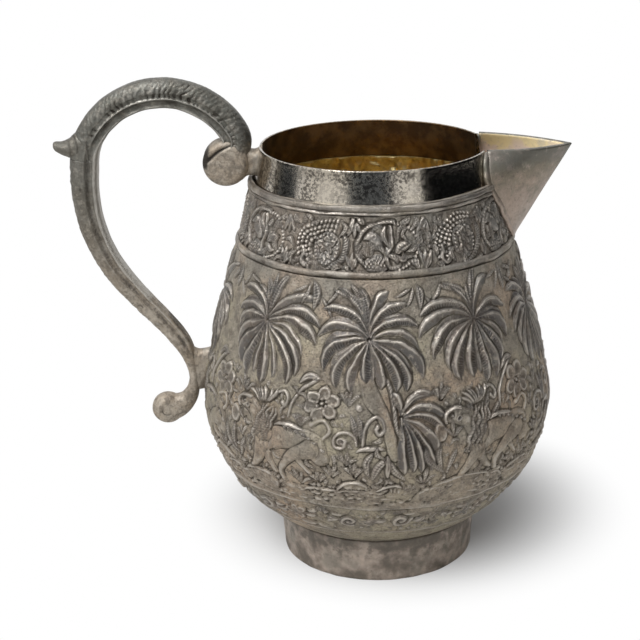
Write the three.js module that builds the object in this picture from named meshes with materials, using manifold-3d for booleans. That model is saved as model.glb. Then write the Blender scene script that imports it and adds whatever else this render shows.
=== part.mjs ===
// A small silver cream jug: a raised belly on a plain foot ring, a band of medallions, a burnished
// collar, a V-shaped spout folded to a sharp keel, and a cast double-scroll handle on two lugs.
// Millimetres, +Z up. The jug's axis is X = Y = 0 while it is built, the spout points to +X and the
// handle to -X. At the end the whole jug is moved along X so that the origin is the middle of its
// footprint on the surface it stands on.
import * as THREE from 'three';
import { mergeVertices } from 'three/addons/utils/BufferGeometryUtils.js';
import Module from 'manifold-3d';

const wasm = await Module();
wasm.setup();

// Sheet silver and solder
const bodyWall = 1.0;
const bandWall = 0.9;
const spoutWall = 0.9;
const footWall = 1.3;
const seatGap = 0.1; // solder film between flat seats
const solderGap = 0.3; // solder film on curved seats
const ringSides = 60; // facets round the body

// Foot ring
const footBottomRadius = 19.5;
const footTopRadius = 19.8;
const footHeight = 9.3;

// Raised belly: a rounded base, the widest line and a straight-sided shoulder
const bowlBase = 4.4;
const bowlBaseFlat = 30.8; // how far the base stays low before it turns up
const bellyRadius = 34.5;
const bellyHeight = 32.4;
const bellyTurnDown = 3.0;
const bellyTurnUp = 8.1;
const shoulderRadius = 27.2;
const shoulderDrop = 18.25; // the shoulder's wire, below the rim
const shoulderRun = 13.8; // height of the nearly straight shoulder
const shoulderLean = 0.29; // inward lean of the shoulder, run over rise
const bowlSteps = 9; // facets along each half of the belly's outline

// Medallion band and the two applied wires
const wireRadius = 0.65; // the shoulder wire is half round
const bandInset = 0.5; // ledge that the bowl's edge leaves outside the band
const collarDrop = 6.9; // middle of the double wire under the collar, below the rim
const collarBead = 0.5; // radius of each of its two beads
const bandTopRadius = 24.2;
const collarInset = 0.5; // ledge that the band's edge leaves outside the collar
const wireSides = 6; // facets on each round of a wire

// Collar and mouth
const rimHeight = 84.05; // on the axis
const rimRadius = 22.0;
const mouthRake = 0.005; // fall of the mouth towards the spout, rise over run
const collarWaist = 0.25; // how hollow the collar's outline is
const collarSteps = 4;

// Spout
const spoutReach = 38.2; // the tip, from the jug's axis
const spoutTipDrop = 0.85; // the tip, below the rim
const keelSlope = 1.67; // rise over run of the keel
const spoutFoot = 1.0; // solid toe of the keel above the shoulder wire
const seamRimWidth = 16.4; // across the two seams at the rim
const seamCollarWidth = 20.6; // across them at the collar wire
const seamToeWidth = 10.0; // across them at the toe
const seamLip = 0.4; // how far a panel's edge stands off its seat
const panelBulge = 1.5; // roundness of each panel along its upper edge
const panelSteps = 4; // facets across a panel
const pourSlotWidth = 14.6; // opening in the collar behind the spout
const pourNotchDepth = 8.0; // how far the opening runs down into the band
const spoutSteps = 8;

// Handle: an upper C scroll, a lower S scroll and two lugs, all in the plane Y = 0
const archDrop = 5.05; // the arch's centre below the rim
const archOffset = 40.4; // the arch's centre from the jug's axis
const archRadius = 16.0; // middle of the band
const archStartDegrees = 32; // degrees, where the round arch begins at the volute
const archEndDegrees = 150; // degrees, where it begins to straighten at the spur
const handleThick = 5.6; // in the plane of the handle
const handleWide = 5.4; // across it
const jointReach = 15.3; // joint of the two castings, out from the arch's centre
const jointRise = 3.4; // and above it
const voluteRadius = 4.45;
const voluteReach = 11.95; // volute's centre from the arch's centre
const voluteRise = 2.2; // volute's centre above the arch's centre
const voluteThick = 5.6;
const voluteEdge = 1.0; // rounding of a volute's rim
const voluteSteps = 2; // facets of that rounding
const spurLength = 5.6;
const spurRise = 1.0;
const spurThick = 4.4;
const spurWide = 4.9;
const spurTaperShare = 0.6; // share of its girth lost along the spur
const spurTipShare = 0.1; // and lost more quickly at the tip
const lowerLugHeight = 38.6; // middle of the lower lug
const lowerLugTall = 8.4;
const lowerLugThick = 1.6; // from belly to scroll
const upperLugDrop = 0.5; // top of the upper lug, below the rim
const upperLugShare = 0.85; // how far it reaches into the volute's outline, share of its radius
const lugWide = 3.8;
const stemThick = 5.5; // the lower scroll under the joint
const stemThinThick = 3.7; // above the lower lug
const stemLugThick = 1.7; // beside the lower lug
const stemThinShare = 0.8; // share of the way from joint to lug
const stemTaperShare = 0.82; // where it begins to thin towards the lug
const stemTopLength = 27.5; // how long the stem hangs straight under the joint
const stemLugLength = 14.3; // how long it runs straight down to the lug
const stemLugDrop = 1.6; // where it stands upright, below the middle of the lug
const stemSwingWidth = 3.2; // how far it swings out under the joint
const tailReach = 5.7; // tail volute's centre, out from the stem at the lug
const tailDrop = 8.2; // and below the middle of the lug
const tailRadius = 3.2;
const tailNeck = 2.6; // thickness of the tail where it leaves the lug
const tailNeckShare = 0.33; // share of the way from lug to volute
const tailFallShare = 0.6; // how far down the tail runs straight, share of its fall
const tailReachShare = 0.25; // how far out it bends, share of its reach
const tailThick = 4.2;
const archSteps = 34;
const stemSteps = 40;
const spurSteps = 7;

// Finishes
const tarnishedSilver = { color: 0x8d867d, metalness: 1.0, roughness: 0.42 };
const burnishedSilver = { color: 0x9c978f, metalness: 1.0, roughness: 0.24 };
const castSilver = { color: 0x837d74, metalness: 1.0, roughness: 0.46 };

// Solids

function solidOf(geometry) {
  const bare = geometry.clone();
  bare.deleteAttribute('normal');
  bare.deleteAttribute('uv');
  const welded = mergeVertices(bare, 1e-4);
  const mesh = new wasm.Mesh({
    numProp: 3,
    vertProperties: new Float32Array(welded.attributes.position.array),
    triVerts: new Uint32Array(welded.index.array),
  });
  return new wasm.Manifold(mesh);
}

function meshOf(name, solid, finish) {
  const shape = solid.getMesh();
  const geometry = new THREE.BufferGeometry();
  geometry.setAttribute('position', new THREE.BufferAttribute(shape.vertProperties, 3));
  geometry.setIndex(new THREE.BufferAttribute(shape.triVerts, 1));
  geometry.computeVertexNormals();
  const mesh = new THREE.Mesh(geometry, new THREE.MeshStandardMaterial(finish));
  mesh.name = name;
  return mesh;
}

// A solid turned about the jug's axis from an outline of [radius, height] points that run upwards
// on the outside, and close on themselves unless they end on the axis.
function turned(outline, sides = ringSides) {
  const points = outline.map(([radius, height]) => new THREE.Vector2(radius, height));
  const onAxis = points[0].x === 0 && points[points.length - 1].x === 0;
  if (!onAxis) points.push(points[0].clone());
  const lathe = new THREE.LatheGeometry(points, sides);
  lathe.rotateX(Math.PI / 2);
  return solidOf(lathe);
}

// A flat outline of [across, up] points in the Y-Z plane, pushed along X from one place to another.
function pushedAlongX(outline, from, to) {
  const shape = new THREE.Shape(outline.map(([across, up]) => new THREE.Vector2(across, up)));
  const block = new THREE.ExtrudeGeometry(shape, { depth: to - from, bevelEnabled: false });
  block.rotateX(Math.PI / 2);
  block.rotateZ(Math.PI / 2);
  block.translate(from, 0, 0);
  return solidOf(block);
}

// A closed solid through a list of rings with the same number of points, each ring a list of
// [x, y, z] points that runs anticlockwise seen against the direction of travel.
function lofted(rings) {
  const count = rings[0].length;
  const places = rings.flat(2);
  const faces = [];
  for (let k = 0; k + 1 < rings.length; k += 1) {
    for (let i = 0; i < count; i += 1) {
      const here = k * count + i;
      const next = k * count + ((i + 1) % count);
      faces.push(here, next, here + count);
      faces.push(next, next + count, here + count);
    }
  }
  const last = (rings.length - 1) * count;
  capFaces(rings[0]).forEach(([a, b, c]) => faces.push(a, c, b));
  capFaces(rings[rings.length - 1]).forEach(([a, b, c]) => faces.push(last + a, last + b, last + c));
  const geometry = new THREE.BufferGeometry();
  geometry.setAttribute('position', new THREE.Float32BufferAttribute(places, 3));
  geometry.setIndex(faces);
  return solidOf(geometry);
}

// Triangles that close one flat ring, worked out in the ring's own plane.
function capFaces(ring) {
  const points = ring.map((place) => new THREE.Vector3(...place));
  const middle = points.reduce((sum, p) => sum.add(p), new THREE.Vector3()).divideScalar(ring.length);
  const normal = new THREE.Vector3();
  points.forEach((p, i) => {
    const next = points[(i + 1) % points.length];
    normal.add(p.clone().sub(middle).cross(next.clone().sub(middle)));
  });
  normal.normalize();
  const across = points[0].clone().sub(middle).normalize();
  const up = normal.clone().cross(across);
  const flat = points.map((p) => {
    const arm = p.clone().sub(middle);
    return new THREE.Vector2(arm.dot(across), arm.dot(up));
  });
  return THREE.ShapeUtils.triangulateShape(flat, []);
}

// Outlines of the body

const collarWireHeight = rimHeight - collarDrop;
const bowlTop = rimHeight - shoulderDrop - wireRadius;
const bandBottom = bowlTop + seatGap;
const bandTop = collarWireHeight - 2 * collarBead;
const collarBottom = bandTop + seatGap;
const bandBottomRadius = shoulderRadius - bandInset;
const collarBottomRadius = bandTopRadius - collarInset;
const highestRim = rimHeight + mouthRake * rimRadius;
const spoutTipHeight = rimHeight - spoutTipDrop;
const spoutToe = bandBottom + 2 * wireRadius + solderGap;

function bowlOutline() {
  const lower = new THREE.CubicBezierCurve(
    new THREE.Vector2(0, bowlBase),
    new THREE.Vector2(bowlBaseFlat, bowlBase),
    new THREE.Vector2(bellyRadius, bellyHeight - bellyTurnDown),
    new THREE.Vector2(bellyRadius, bellyHeight),
  );
  const upper = new THREE.CubicBezierCurve(
    new THREE.Vector2(bellyRadius, bellyHeight),
    new THREE.Vector2(bellyRadius, bellyHeight + bellyTurnUp),
    new THREE.Vector2(shoulderRadius + shoulderLean * shoulderRun, bowlTop - shoulderRun),
    new THREE.Vector2(shoulderRadius, bowlTop),
  );
  return [...lower.getSpacedPoints(bowlSteps), ...upper.getSpacedPoints(bowlSteps).slice(1)];
}

// The same outline moved outwards by a distance, square to itself.
function moved(outline, distance) {
  return outline.map((point, i) => {
    const before = outline[Math.max(i - 1, 0)];
    const after = outline[Math.min(i + 1, outline.length - 1)];
    const along = after.clone().sub(before).normalize();
    const place = new THREE.Vector2(point.x + along.y * distance, point.y - along.x * distance);
    if (i === 0) place.set(0, point.y - distance);
    if (i === outline.length - 1) place.set(point.x + distance, point.y);
    return place;
  });
}

const pairs = (points) => points.map((point) => [point.x, point.y]);

// Radius of the plain outside of the body above the bowl, wires left out.
function bandRadius(height) {
  const share = (height - bandBottom) / (bandTop - bandBottom);
  return THREE.MathUtils.lerp(bandBottomRadius, bandTopRadius, share);
}

function collarRadius(height) {
  const share = (height - collarBottom) / (rimHeight - collarBottom);
  const straight = THREE.MathUtils.lerp(collarBottomRadius, rimRadius, share);
  return straight - collarWaist * 4 * share * (1 - share);
}

function collarHeights() {
  const top = highestRim + collarWaist;
  return [...Array(collarSteps + 1).keys()].map((k) => {
    return THREE.MathUtils.lerp(collarBottom, top, k / collarSteps);
  });
}

// Everything inside the body's outside surface, filled, and grown by a gap. It cuts the seats of
// the foot, the spout and the lugs.
function bodyFilled(gap) {
  const bowl = pairs(moved(bowlOutline(), gap));
  const band = [[bandRadius(bandBottom) + gap, bandBottom], [bandRadius(bandTop) + gap, bandTop]];
  const collar = collarHeights().map((height) => [collarRadius(height) + gap, height]);
  const top = collar[collar.length - 1][1];
  return turned([...bowl, ...band, ...collar, [0, top]]);
}

// Cutters of the mouth

// All that lies above a plane that falls towards +X through a point above the axis.
function abovePlane(height, rake) {
  const size = 4 * spoutReach;
  const block = new THREE.BoxGeometry(size, size, size);
  block.translate(0, 0, size / 2);
  block.rotateY(Math.atan(rake));
  block.translate(0, 0, height);
  return solidOf(block);
}

const aboveMouth = () => abovePlane(rimHeight, mouthRake);

// The spout's upper edges fall a little more, from the mouth at the seams to the tip.
function aboveSpout() {
  const seamX = Math.sqrt(rimRadius * rimRadius - (seamRimWidth * seamRimWidth) / 4);
  const seamHeight = rimHeight - mouthRake * seamX;
  const rake = (seamHeight - spoutTipHeight) / (spoutReach - seamX);
  return abovePlane(seamHeight + rake * seamX, rake);
}

// The way from the mouth into the spout: a slot in the collar that ends in a notch in the band.
function pourOpening() {
  const half = pourSlotWidth / 2;
  const top = 2 * highestRim;
  const outline = [
    [0, bandTop - pourNotchDepth],
    [half, bandTop],
    [half, top],
    [-half, top],
    [-half, bandTop],
  ];
  return pushedAlongX(outline, 0, spoutReach);
}

// Body pieces

function bellyBowl() {
  const outside = bowlOutline();
  const inside = moved(outside, -bodyWall).reverse();
  return turned(pairs([...outside, ...inside]));
}

function friezeBand() {
  const foot = bandRadius(bandBottom);
  const ring = turned([
    [foot - bandWall, bandBottom],
    [foot, bandBottom],
    [bandTopRadius, bandTop],
    [bandTopRadius - bandWall, bandTop],
  ]);
  return ring.subtract(pourOpening());
}

function collarBand() {
  const outside = collarHeights().map((height) => [collarRadius(height), height]);
  const inside = outside.map(([radius, height]) => [radius - bandWall, height]).reverse();
  const ring = turned([...outside, ...inside]);
  return ring.subtract(aboveMouth()).subtract(pourOpening());
}

// Half a round bead on a wall, from its lower to its upper end.
function bead(radius, wallRadius, middle) {
  return [...Array(wireSides + 1).keys()].map((k) => {
    const angle = -Math.PI / 2 + (Math.PI * k) / wireSides;
    return [wallRadius + radius * Math.cos(angle), middle + radius * Math.sin(angle)];
  });
}

// The half-round wire lies on the bowl's edge, against the foot of the band.
function shoulderWire() {
  const inner = bandRadius(bandBottom) + solderGap;
  const middle = bandBottom + wireRadius;
  return turned(bead(wireRadius, inner, middle));
}

// The double wire lies on the band's edge, against the foot of the collar, and stops at the spout.
function collarWire() {
  const inner = collarBottomRadius + solderGap;
  const lower = bead(collarBead, inner, collarBottom + collarBead);
  const upper = bead(collarBead, inner, collarBottom + 3 * collarBead);
  const ring = turned([...lower, ...upper.slice(1)]);
  return ring.subtract(spoutWedge(-solderGap, spoutToe));
}

function footRing() {
  const ring = turned([
    [footBottomRadius - footWall, 0],
    [footBottomRadius, 0],
    [footTopRadius, footHeight],
    [footTopRadius, bellyHeight],
    [footTopRadius - footWall, bellyHeight],
    [footTopRadius - footWall, footHeight],
  ]);
  return ring.subtract(bodyFilled(solderGap));
}

// Spout

// Half the width across the seams at a height.
function seamHalfWidth(height) {
  const widths = new THREE.SplineCurve([
    new THREE.Vector2(spoutToe, seamToeWidth / 2),
    new THREE.Vector2(collarWireHeight, seamCollarWidth / 2),
    new THREE.Vector2(highestRim, seamRimWidth / 2),
  ]);
  const split = collarWireHeight;
  const below = (height - spoutToe) / (split - spoutToe);
  const above = (height - split) / (highestRim - split);
  return widths.getPoint(height < split ? below / 2 : 0.5 + above / 2).y;
}

// One level of the spout's V, set in from its outside by a wall, as a ring of [x, y, z] points.
function spoutLevel(height, wall) {
  const keel = new THREE.Vector2(spoutReach + (height - spoutTipHeight) / keelSlope, 0);
  const wide = seamHalfWidth(height);
  const plain = height < bandTop ? bandRadius(height) : collarRadius(height);
  const radius = plain + solderGap + seamLip;
  const seam = new THREE.Vector2(Math.sqrt(radius * radius - wide * wide), wide);
  const along = seam.clone().sub(keel).normalize();
  const inward = new THREE.Vector2(-along.y, along.x);
  const bulge = panelBulge * THREE.MathUtils.smoothstep(height, spoutToe, highestRim);
  const middle = keel.clone().lerp(seam, 0.5).addScaledVector(inward, -2 * bulge);
  const panel = new THREE.QuadraticBezierCurve(keel, middle, seam).getPoints(panelSteps);
  const shifted = panel.map((point) => point.clone().addScaledVector(inward, wall));
  const end = shifted[panelSteps].clone().setLength(plain - bandWall);
  const fold = new THREE.Vector2(keel.x - wall / along.y, 0);
  const side = [...shifted.slice(1), end];
  const right = side.map((point) => [point.x, point.y, height]);
  const left = side.map((point) => [point.x, -point.y, height]).reverse();
  return [[fold.x, 0, height], ...right, ...left];
}

function spoutWedge(wall, bottom) {
  const top = highestRim + spoutWall;
  const heights = [...Array(spoutSteps + 1).keys()].map((k) => {
    return THREE.MathUtils.lerp(bottom, top, k / spoutSteps);
  });
  return lofted(heights.map((height) => spoutLevel(height, wall)));
}

function spout() {
  const outside = spoutWedge(0, spoutToe);
  const hollow = spoutWedge(spoutWall, spoutToe + spoutFoot);
  return outside.subtract(hollow).subtract(bodyFilled(solderGap)).subtract(aboveSpout());
}

// Handle

const archCentre = new THREE.Vector2(-archOffset, rimHeight - archDrop);
const voluteCentre = archCentre.clone().add(new THREE.Vector2(voluteReach, voluteRise));
const jointPlace = archCentre.clone().add(new THREE.Vector2(-jointReach, jointRise));
const jointFall = new THREE.Vector2(-stemSwingWidth, -stemTopLength).normalize(); // square to the joint

// Radius of the belly's outside at a height.
function bellyRadiusAt(height) {
  const outline = bowlOutline();
  const upper = outline.findIndex((point) => point.y > height);
  const [low, high] = [outline[upper - 1], outline[upper]];
  return THREE.MathUtils.lerp(low.x, high.x, (height - low.y) / (high.y - low.y));
}

// Half of the cast band's section, as shares of half its thickness and half its width: a round
// back, a raised line, a hollow groove and a square inner edge.
const bandSection = [
  [1.0, 0.0],
  [0.92, 0.42],
  [0.62, 0.8],
  [0.2, 0.98],
  [0.04, 1.0],
  [-0.22, 0.72],
  [-0.52, 0.66],
  [-0.76, 0.8],
  [-1.0, 0.7],
];

const ovalSection = [...Array(7).keys()].map((k) => {
  const angle = (Math.PI * k) / 6;
  return [Math.cos(angle), Math.sin(angle)];
});

// The band's section without its groove, which cuts the seats of the lugs.
const seatSection = [
  [1.0, 0.0],
  [0.92, 0.42],
  [0.62, 0.8],
  [0.04, 1.0],
  [-1.0, 1.0],
];

// A section carried along a flat path in the plane of the handle. girth(share) gives its thickness
// and width, and grown adds a gap all round.
function carried(path, section, girth, steps, grown) {
  const mirrored = section.slice(1).reverse().map(([out, side]) => [out, -side]);
  const loop = [...section, ...mirrored].filter(([out, side], i, all) => {
    return all.findIndex((other) => other[0] === out && Math.abs(other[1] - side) < 1e-9) === i;
  });
  const rings = [...Array(steps + 1).keys()].map((k) => {
    const share = k / steps;
    const place = path.getPointAt(share);
    const along = path.getTangentAt(share);
    const [thick, wide] = girth(share);
    return loop.map(([out, side]) => {
      const reach = out * (thick / 2 + grown);
      return [place.x + along.y * reach, side * (wide / 2 + grown), place.y - along.x * reach];
    });
  });
  return lofted(rings);
}

// A scroll's round end, lying across the handle, with a rounded rim.
function volute(centre, radius, thick, grown) {
  const half = thick / 2 + grown;
  const rim = radius + grown;
  const rounding = [...Array(voluteSteps + 1).keys()].map((k) => {
    const angle = (Math.PI * k) / (2 * voluteSteps);
    return [rim - voluteEdge * (1 - Math.cos(angle)), half - voluteEdge * (1 - Math.sin(angle))];
  });
  const lowered = rounding.map(([across, up]) => [across, -up]).reverse();
  const outline = [[0, -half], ...lowered, ...rounding, [0, half]];
  const points = outline.map(([across, up]) => new THREE.Vector2(across, up));
  const disc = new THREE.LatheGeometry(points, ringSides / 2);
  disc.translate(centre.x, 0, centre.y);
  return solidOf(disc);
}

// The upper C scroll rises from its volute over the arch to the joint, and ends outside in a spur.
function upperScroll(section = bandSection, grown = 0) {
  const start = THREE.MathUtils.degToRad(archStartDegrees);
  const end = THREE.MathUtils.degToRad(archEndDegrees);
  const onArch = (angle) => [
    archCentre.x + archRadius * Math.cos(angle),
    archCentre.y + archRadius * Math.sin(angle),
  ];
  const [fromX, fromZ] = onArch(start);
  const [toX, toZ] = onArch(end);
  const pull = handleThick / 2;
  const inVolute = voluteRadius - handleThick / 2;
  const path = new THREE.Path();
  path.moveTo(voluteCentre.x + inVolute, voluteCentre.y);
  path.bezierCurveTo(
    voluteCentre.x + inVolute, voluteCentre.y + pull,
    fromX + pull * Math.sin(start), fromZ - pull * Math.cos(start),
    fromX, fromZ,
  );
  path.absarc(archCentre.x, archCentre.y, archRadius, start, end, false);
  path.bezierCurveTo(
    toX - pull * Math.sin(end) / 2, toZ + pull * Math.cos(end) / 2,
    jointPlace.x - jointFall.x * pull / 2, jointPlace.y - jointFall.y * pull / 2,
    jointPlace.x, jointPlace.y,
  );
  const girth = (share) => [
    THREE.MathUtils.lerp(handleThick, stemThick, share),
    handleWide,
  ];
  const arch = carried(path, section, girth, archSteps, grown);
  const round = volute(voluteCentre, voluteRadius, voluteThick, grown);
  return arch.add(round).add(spur(grown));
}

function spur(grown) {
  const root = new THREE.Vector2(jointPlace.x + stemThick / 4, jointPlace.y + spurThick / 2);
  const tip = new THREE.Vector2(root.x - spurLength - stemThick / 4, root.y + spurRise);
  const path = new THREE.Path();
  path.moveTo(root.x, root.y);
  path.quadraticCurveTo((root.x + tip.x) / 2, root.y - spurRise / 2, tip.x, tip.y);
  const girth = (share) => {
    const taper = 1 - spurTaperShare * share - spurTipShare * share ** 4;
    return [spurThick * taper, spurWide * taper];
  };
  return carried(path, ovalSection, girth, spurSteps, grown);
}

// The lower S scroll hangs from the joint, passes the lower lug and curls up into the tail volute.
function lowerScroll(section = bandSection, grown = 0) {
  const lugX = -bellyRadiusAt(lowerLugHeight) - lowerLugThick - stemLugThick / 2;
  const lugZ = lowerLugHeight - stemLugDrop;
  const top = jointPlace.clone().addScaledVector(jointFall, seatGap);
  const tail = new THREE.Vector2(lugX - tailReach, lowerLugHeight - tailDrop);
  const path = new THREE.Path();
  path.moveTo(top.x, top.y);
  path.bezierCurveTo(
    top.x - stemSwingWidth, top.y - stemTopLength,
    lugX, lugZ + stemLugLength,
    lugX, lugZ,
  );
  const fall = lugZ - tail.y;
  path.bezierCurveTo(
    lugX, lugZ - fall * tailFallShare,
    lugX - tailReach * tailReachShare, tail.y,
    tail.x, tail.y,
  );
  const [stem, end] = path.getCurveLengths();
  const atLug = stem / end;
  const { lerp, smoothstep } = THREE.MathUtils;
  const thickness = (share) => {
    if (share > atLug) {
      const past = (share - atLug) / (1 - atLug);
      const neck = lerp(stemLugThick, tailNeck, Math.min(1, past / tailNeckShare));
      return lerp(neck, tailRadius, past);
    }
    const along = share / atLug;
    const thin = lerp(stemThick, stemThinThick, Math.min(1, along / stemThinShare));
    return lerp(thin, stemLugThick, smoothstep(along, stemTaperShare, 1));
  };
  const girth = (share) => [thickness(share), lerp(handleWide, tailThick, share)];
  const band = carried(path, section, girth, stemSteps, grown);
  return band.add(volute(tail, tailRadius, tailThick, grown));
}

// A lug's rounded outline across the handle, as [across, up] points.
function lugOutline(middle, tall) {
  const corner = lugWide / 2;
  const straight = tall / 2 - corner;
  const half = [...Array(9).keys()].map((k) => {
    const angle = (Math.PI * k) / 8;
    return [corner * Math.cos(angle), straight + corner * Math.sin(angle)];
  });
  const whole = [...half, ...half.map(([across, up]) => [-across, -up])];
  return whole.map(([across, up]) => [across, middle + up]);
}

function upperLug() {
  const from = voluteCentre.x + voluteRadius * upperLugShare;
  const bottom = collarBottom + 4 * collarBead + solderGap;
  const top = rimHeight - upperLugDrop;
  const block = pushedAlongX(lugOutline((bottom + top) / 2, top - bottom), from, -rimRadius / 2);
  return block.subtract(bodyFilled(solderGap)).subtract(upperScroll(seatSection, solderGap));
}

function lowerLug() {
  const wall = bellyRadiusAt(lowerLugHeight);
  const from = -wall - lowerLugThick - stemLugThick / 2;
  const block = pushedAlongX(lugOutline(lowerLugHeight, lowerLugTall), from, -wall / 2);
  return block.subtract(bodyFilled(solderGap)).subtract(lowerScroll(seatSection, solderGap));
}

// The jug

const jug = new THREE.Group();
jug.add(
  meshOf('belly_bowl', bellyBowl(), tarnishedSilver),
  meshOf('frieze_band', friezeBand(), tarnishedSilver),
  meshOf('collar_band', collarBand(), burnishedSilver),
  meshOf('shoulder_wire', shoulderWire(), tarnishedSilver),
  meshOf('collar_wire', collarWire(), tarnishedSilver),
  meshOf('spout', spout(), burnishedSilver),
  meshOf('foot_ring', footRing(), tarnishedSilver),
  meshOf('handle_upper_scroll', upperScroll(), castSilver),
  meshOf('handle_lower_scroll', lowerScroll(), castSilver),
  meshOf('upper_handle_lug', upperLug(), castSilver),
  meshOf('lower_handle_lug', lowerLug(), castSilver),
);

const footprint = new THREE.Box3().setFromObject(jug);
jug.position.x = -(footprint.min.x + footprint.max.x) / 2;

const creamer = new THREE.Group();
creamer.add(jug);

export default creamer;
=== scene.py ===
# Looks of a small silver cream jug: a chased palm grove with beasts round the belly, a band of
# medallions, a burnished collar and spout, a cast scroll handle, and gilding inside.
# Sizes are in millimetres about the jug's axis, and become metres in the frame when a mesh is made.
import math

import bpy
import numpy as np
from mathutils import Euler, Matrix, Vector


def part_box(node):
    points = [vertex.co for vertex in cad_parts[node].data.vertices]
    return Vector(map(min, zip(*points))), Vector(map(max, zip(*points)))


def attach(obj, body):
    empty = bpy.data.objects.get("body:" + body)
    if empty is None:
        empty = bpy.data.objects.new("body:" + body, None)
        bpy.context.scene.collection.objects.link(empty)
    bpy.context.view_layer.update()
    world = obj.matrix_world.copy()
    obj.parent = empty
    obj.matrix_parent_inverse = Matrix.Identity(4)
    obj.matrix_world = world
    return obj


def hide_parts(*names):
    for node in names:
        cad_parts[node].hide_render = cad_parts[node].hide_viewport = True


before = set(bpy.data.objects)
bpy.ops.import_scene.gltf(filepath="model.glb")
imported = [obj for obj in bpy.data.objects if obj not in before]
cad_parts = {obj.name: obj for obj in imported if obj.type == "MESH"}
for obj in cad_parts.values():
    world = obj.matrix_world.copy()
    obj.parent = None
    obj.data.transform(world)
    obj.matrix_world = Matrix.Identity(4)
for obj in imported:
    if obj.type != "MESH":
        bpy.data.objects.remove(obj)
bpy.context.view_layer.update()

MM = 1000.0


def node_box(node):
    """The corners of a node's box in millimetres."""
    low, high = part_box(node)
    return np.array(low) * MM, np.array(high) * MM


# Sizes that the frame gives
bowl_low, bowl_high = node_box("belly_bowl")
band_low, band_high = node_box("frieze_band")
collar_low, collar_high = node_box("collar_band")
spout_low, spout_high = node_box("spout")
_, foot_high = node_box("foot_ring")
arch_low, arch_high = node_box("handle_upper_scroll")
stem_low, stem_high = node_box("handle_lower_scroll")
shoulder_low, shoulder_high = node_box("shoulder_wire")
double_low, double_high = node_box("collar_wire")

axis_x = (bowl_low[0] + bowl_high[0]) / 2
belly_radius = (bowl_high[1] - bowl_low[1]) / 2
bowl_base, bowl_top = bowl_low[2], bowl_high[2]
band_bottom, band_top = band_low[2], band_high[2]
band_bottom_radius = band_high[1]
collar_bottom, rim_height = collar_low[2], collar_high[2]
collar_bottom_radius = collar_high[1]
spout_reach = spout_high[0] - axis_x

# Sheet and solder
body_wall = 1.0
band_wall = 0.9
spout_wall = 0.9
rim_wall = 0.5
lining_rise = 0.42  # the most that the chased forms press out the band's lining
wire_sink = 0.4  # how far the shoulder wire has settled into its solder
toe_sink = 0.6  # how far the toe of the spout runs down over that wire

spout_toe = spout_low[2] - toe_sink

# Outline of the bowl
base_flat = 30.8
belly_level = 32.4
belly_turn_down = 3.0
belly_turn_up = 8.1
shoulder_radius = 27.2
shoulder_run = 13.8
shoulder_lean = 0.29

# Band, collar and mouth
band_top_radius = 24.2
rim_radius = 22.0
lip_round = 0.2
collar_waist = 0.25
mouth_rake = 0.005
pour_slot = 14.6
pour_notch = 8.0

# Spout
keel_slope = 1.67
tip_drop = 0.96
seam_rim = 16.4
seam_collar = 20.6
seam_toe = 10.0
seam_collar_level = 77.15
panel_bulge = 1.5

# Foot
foot_wall = 1.3
foot_taper = 0.5  # how much narrower the foot is below than at its seat
heel_round = 0.6
foot_straight = 3.4  # level where the outside starts to widen
foot_flare = 5.2  # level where the outside has its full width
foot_hollow = 5.0  # level where the inside starts to widen
seat_film = 0.02

# Relief, as shares of what the chasing gives, and its bare ground
belly_ground = -0.12
belly_relief = 0.88
band_ground = -0.1
band_relief = 0.85
# The tone of a form is a random tarnish, plus painted shade that darkens it down its slopes.
form_tarnish_and_shade = 1.35  # how much darker the smooth forms of the belly are than those of the band

# Marks of the hammer: their depths, and the cells of the grid across them
belly_hammering = [(0.05, 12), (0.04, 6), (0.022, 2.5)]
band_hammering = [(0.04, 8), (0.035, 4), (0.025, 2)]

# Fineness of the meshes
belly_columns = 1440
belly_pitch = 0.18
base_pitch = 1.6
lining_pitch = 1.1
band_columns = 1440
band_rows = 84
band_lining_rows = 28
lining_share = 4  # columns of the chased side for each column of the lining
collar_rows = 26
collar_columns = 361
ring_columns = 720

rng = np.random.default_rng(7)
vary = rng.uniform


# Lines and fields

def lerp(start, end, share):
    """A share of the way from one value to another."""
    return start + (end - start) * share


def smooth(low, high, value):
    """0 at low and 1 at high, with soft ends."""
    share = np.clip((value - low) / (high - low), 0, 1)
    return share * share * (3 - 2 * share)


def bezier(corners, steps):
    """Points along a Bezier curve with any number of corners."""
    share = np.linspace(0, 1, steps + 1)[:, None]
    points = [np.broadcast_to(np.array(corner, float), (steps + 1, len(corner))) for corner in corners]
    while len(points) > 1:
        points = [a + (b - a) * share for a, b in zip(points, points[1:])]
    return points[0]


def through(places, steps):
    """A smooth line through a few places, with a number of steps between each two of them."""
    places = np.array(places, float)
    ends = np.vstack([2 * places[0] - places[1], places, 2 * places[-1] - places[-2]])
    share = np.linspace(0, 1, steps, endpoint=False)[:, None]
    parts = []
    for a, b, c, d in zip(ends, ends[1:], ends[2:], ends[3:]):
        pull = 2 * b + (c - a) * share + (2 * a - 5 * b + 4 * c - d) * share ** 2
        parts.append((pull + (3 * b - a - 3 * c + d) * share ** 3) / 2)
    return np.vstack(parts + [places[-1:]])


def spiral(middle, radius, bearing, turns, steps, wound_in=0.82):
    """A curl that winds in from its outer end at a bearing, anticlockwise for positive turns."""
    share = np.linspace(0, 1, steps)
    angle = np.radians(bearing) + 2 * math.pi * turns * share
    reach = radius * (1 - wound_in * share)
    return np.column_stack([middle[0] + reach * np.cos(angle), middle[1] + reach * np.sin(angle)])


def spaced(line, pitch):
    """The same line with points a pitch apart."""
    along = np.concatenate([[0], np.cumsum(np.hypot(*np.diff(line, axis=0).T))])
    count = max(2, int(round(along[-1] / pitch)))
    places = np.linspace(0, along[-1], count + 1)
    return np.column_stack([np.interp(places, along, column) for column in line.T])


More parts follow.
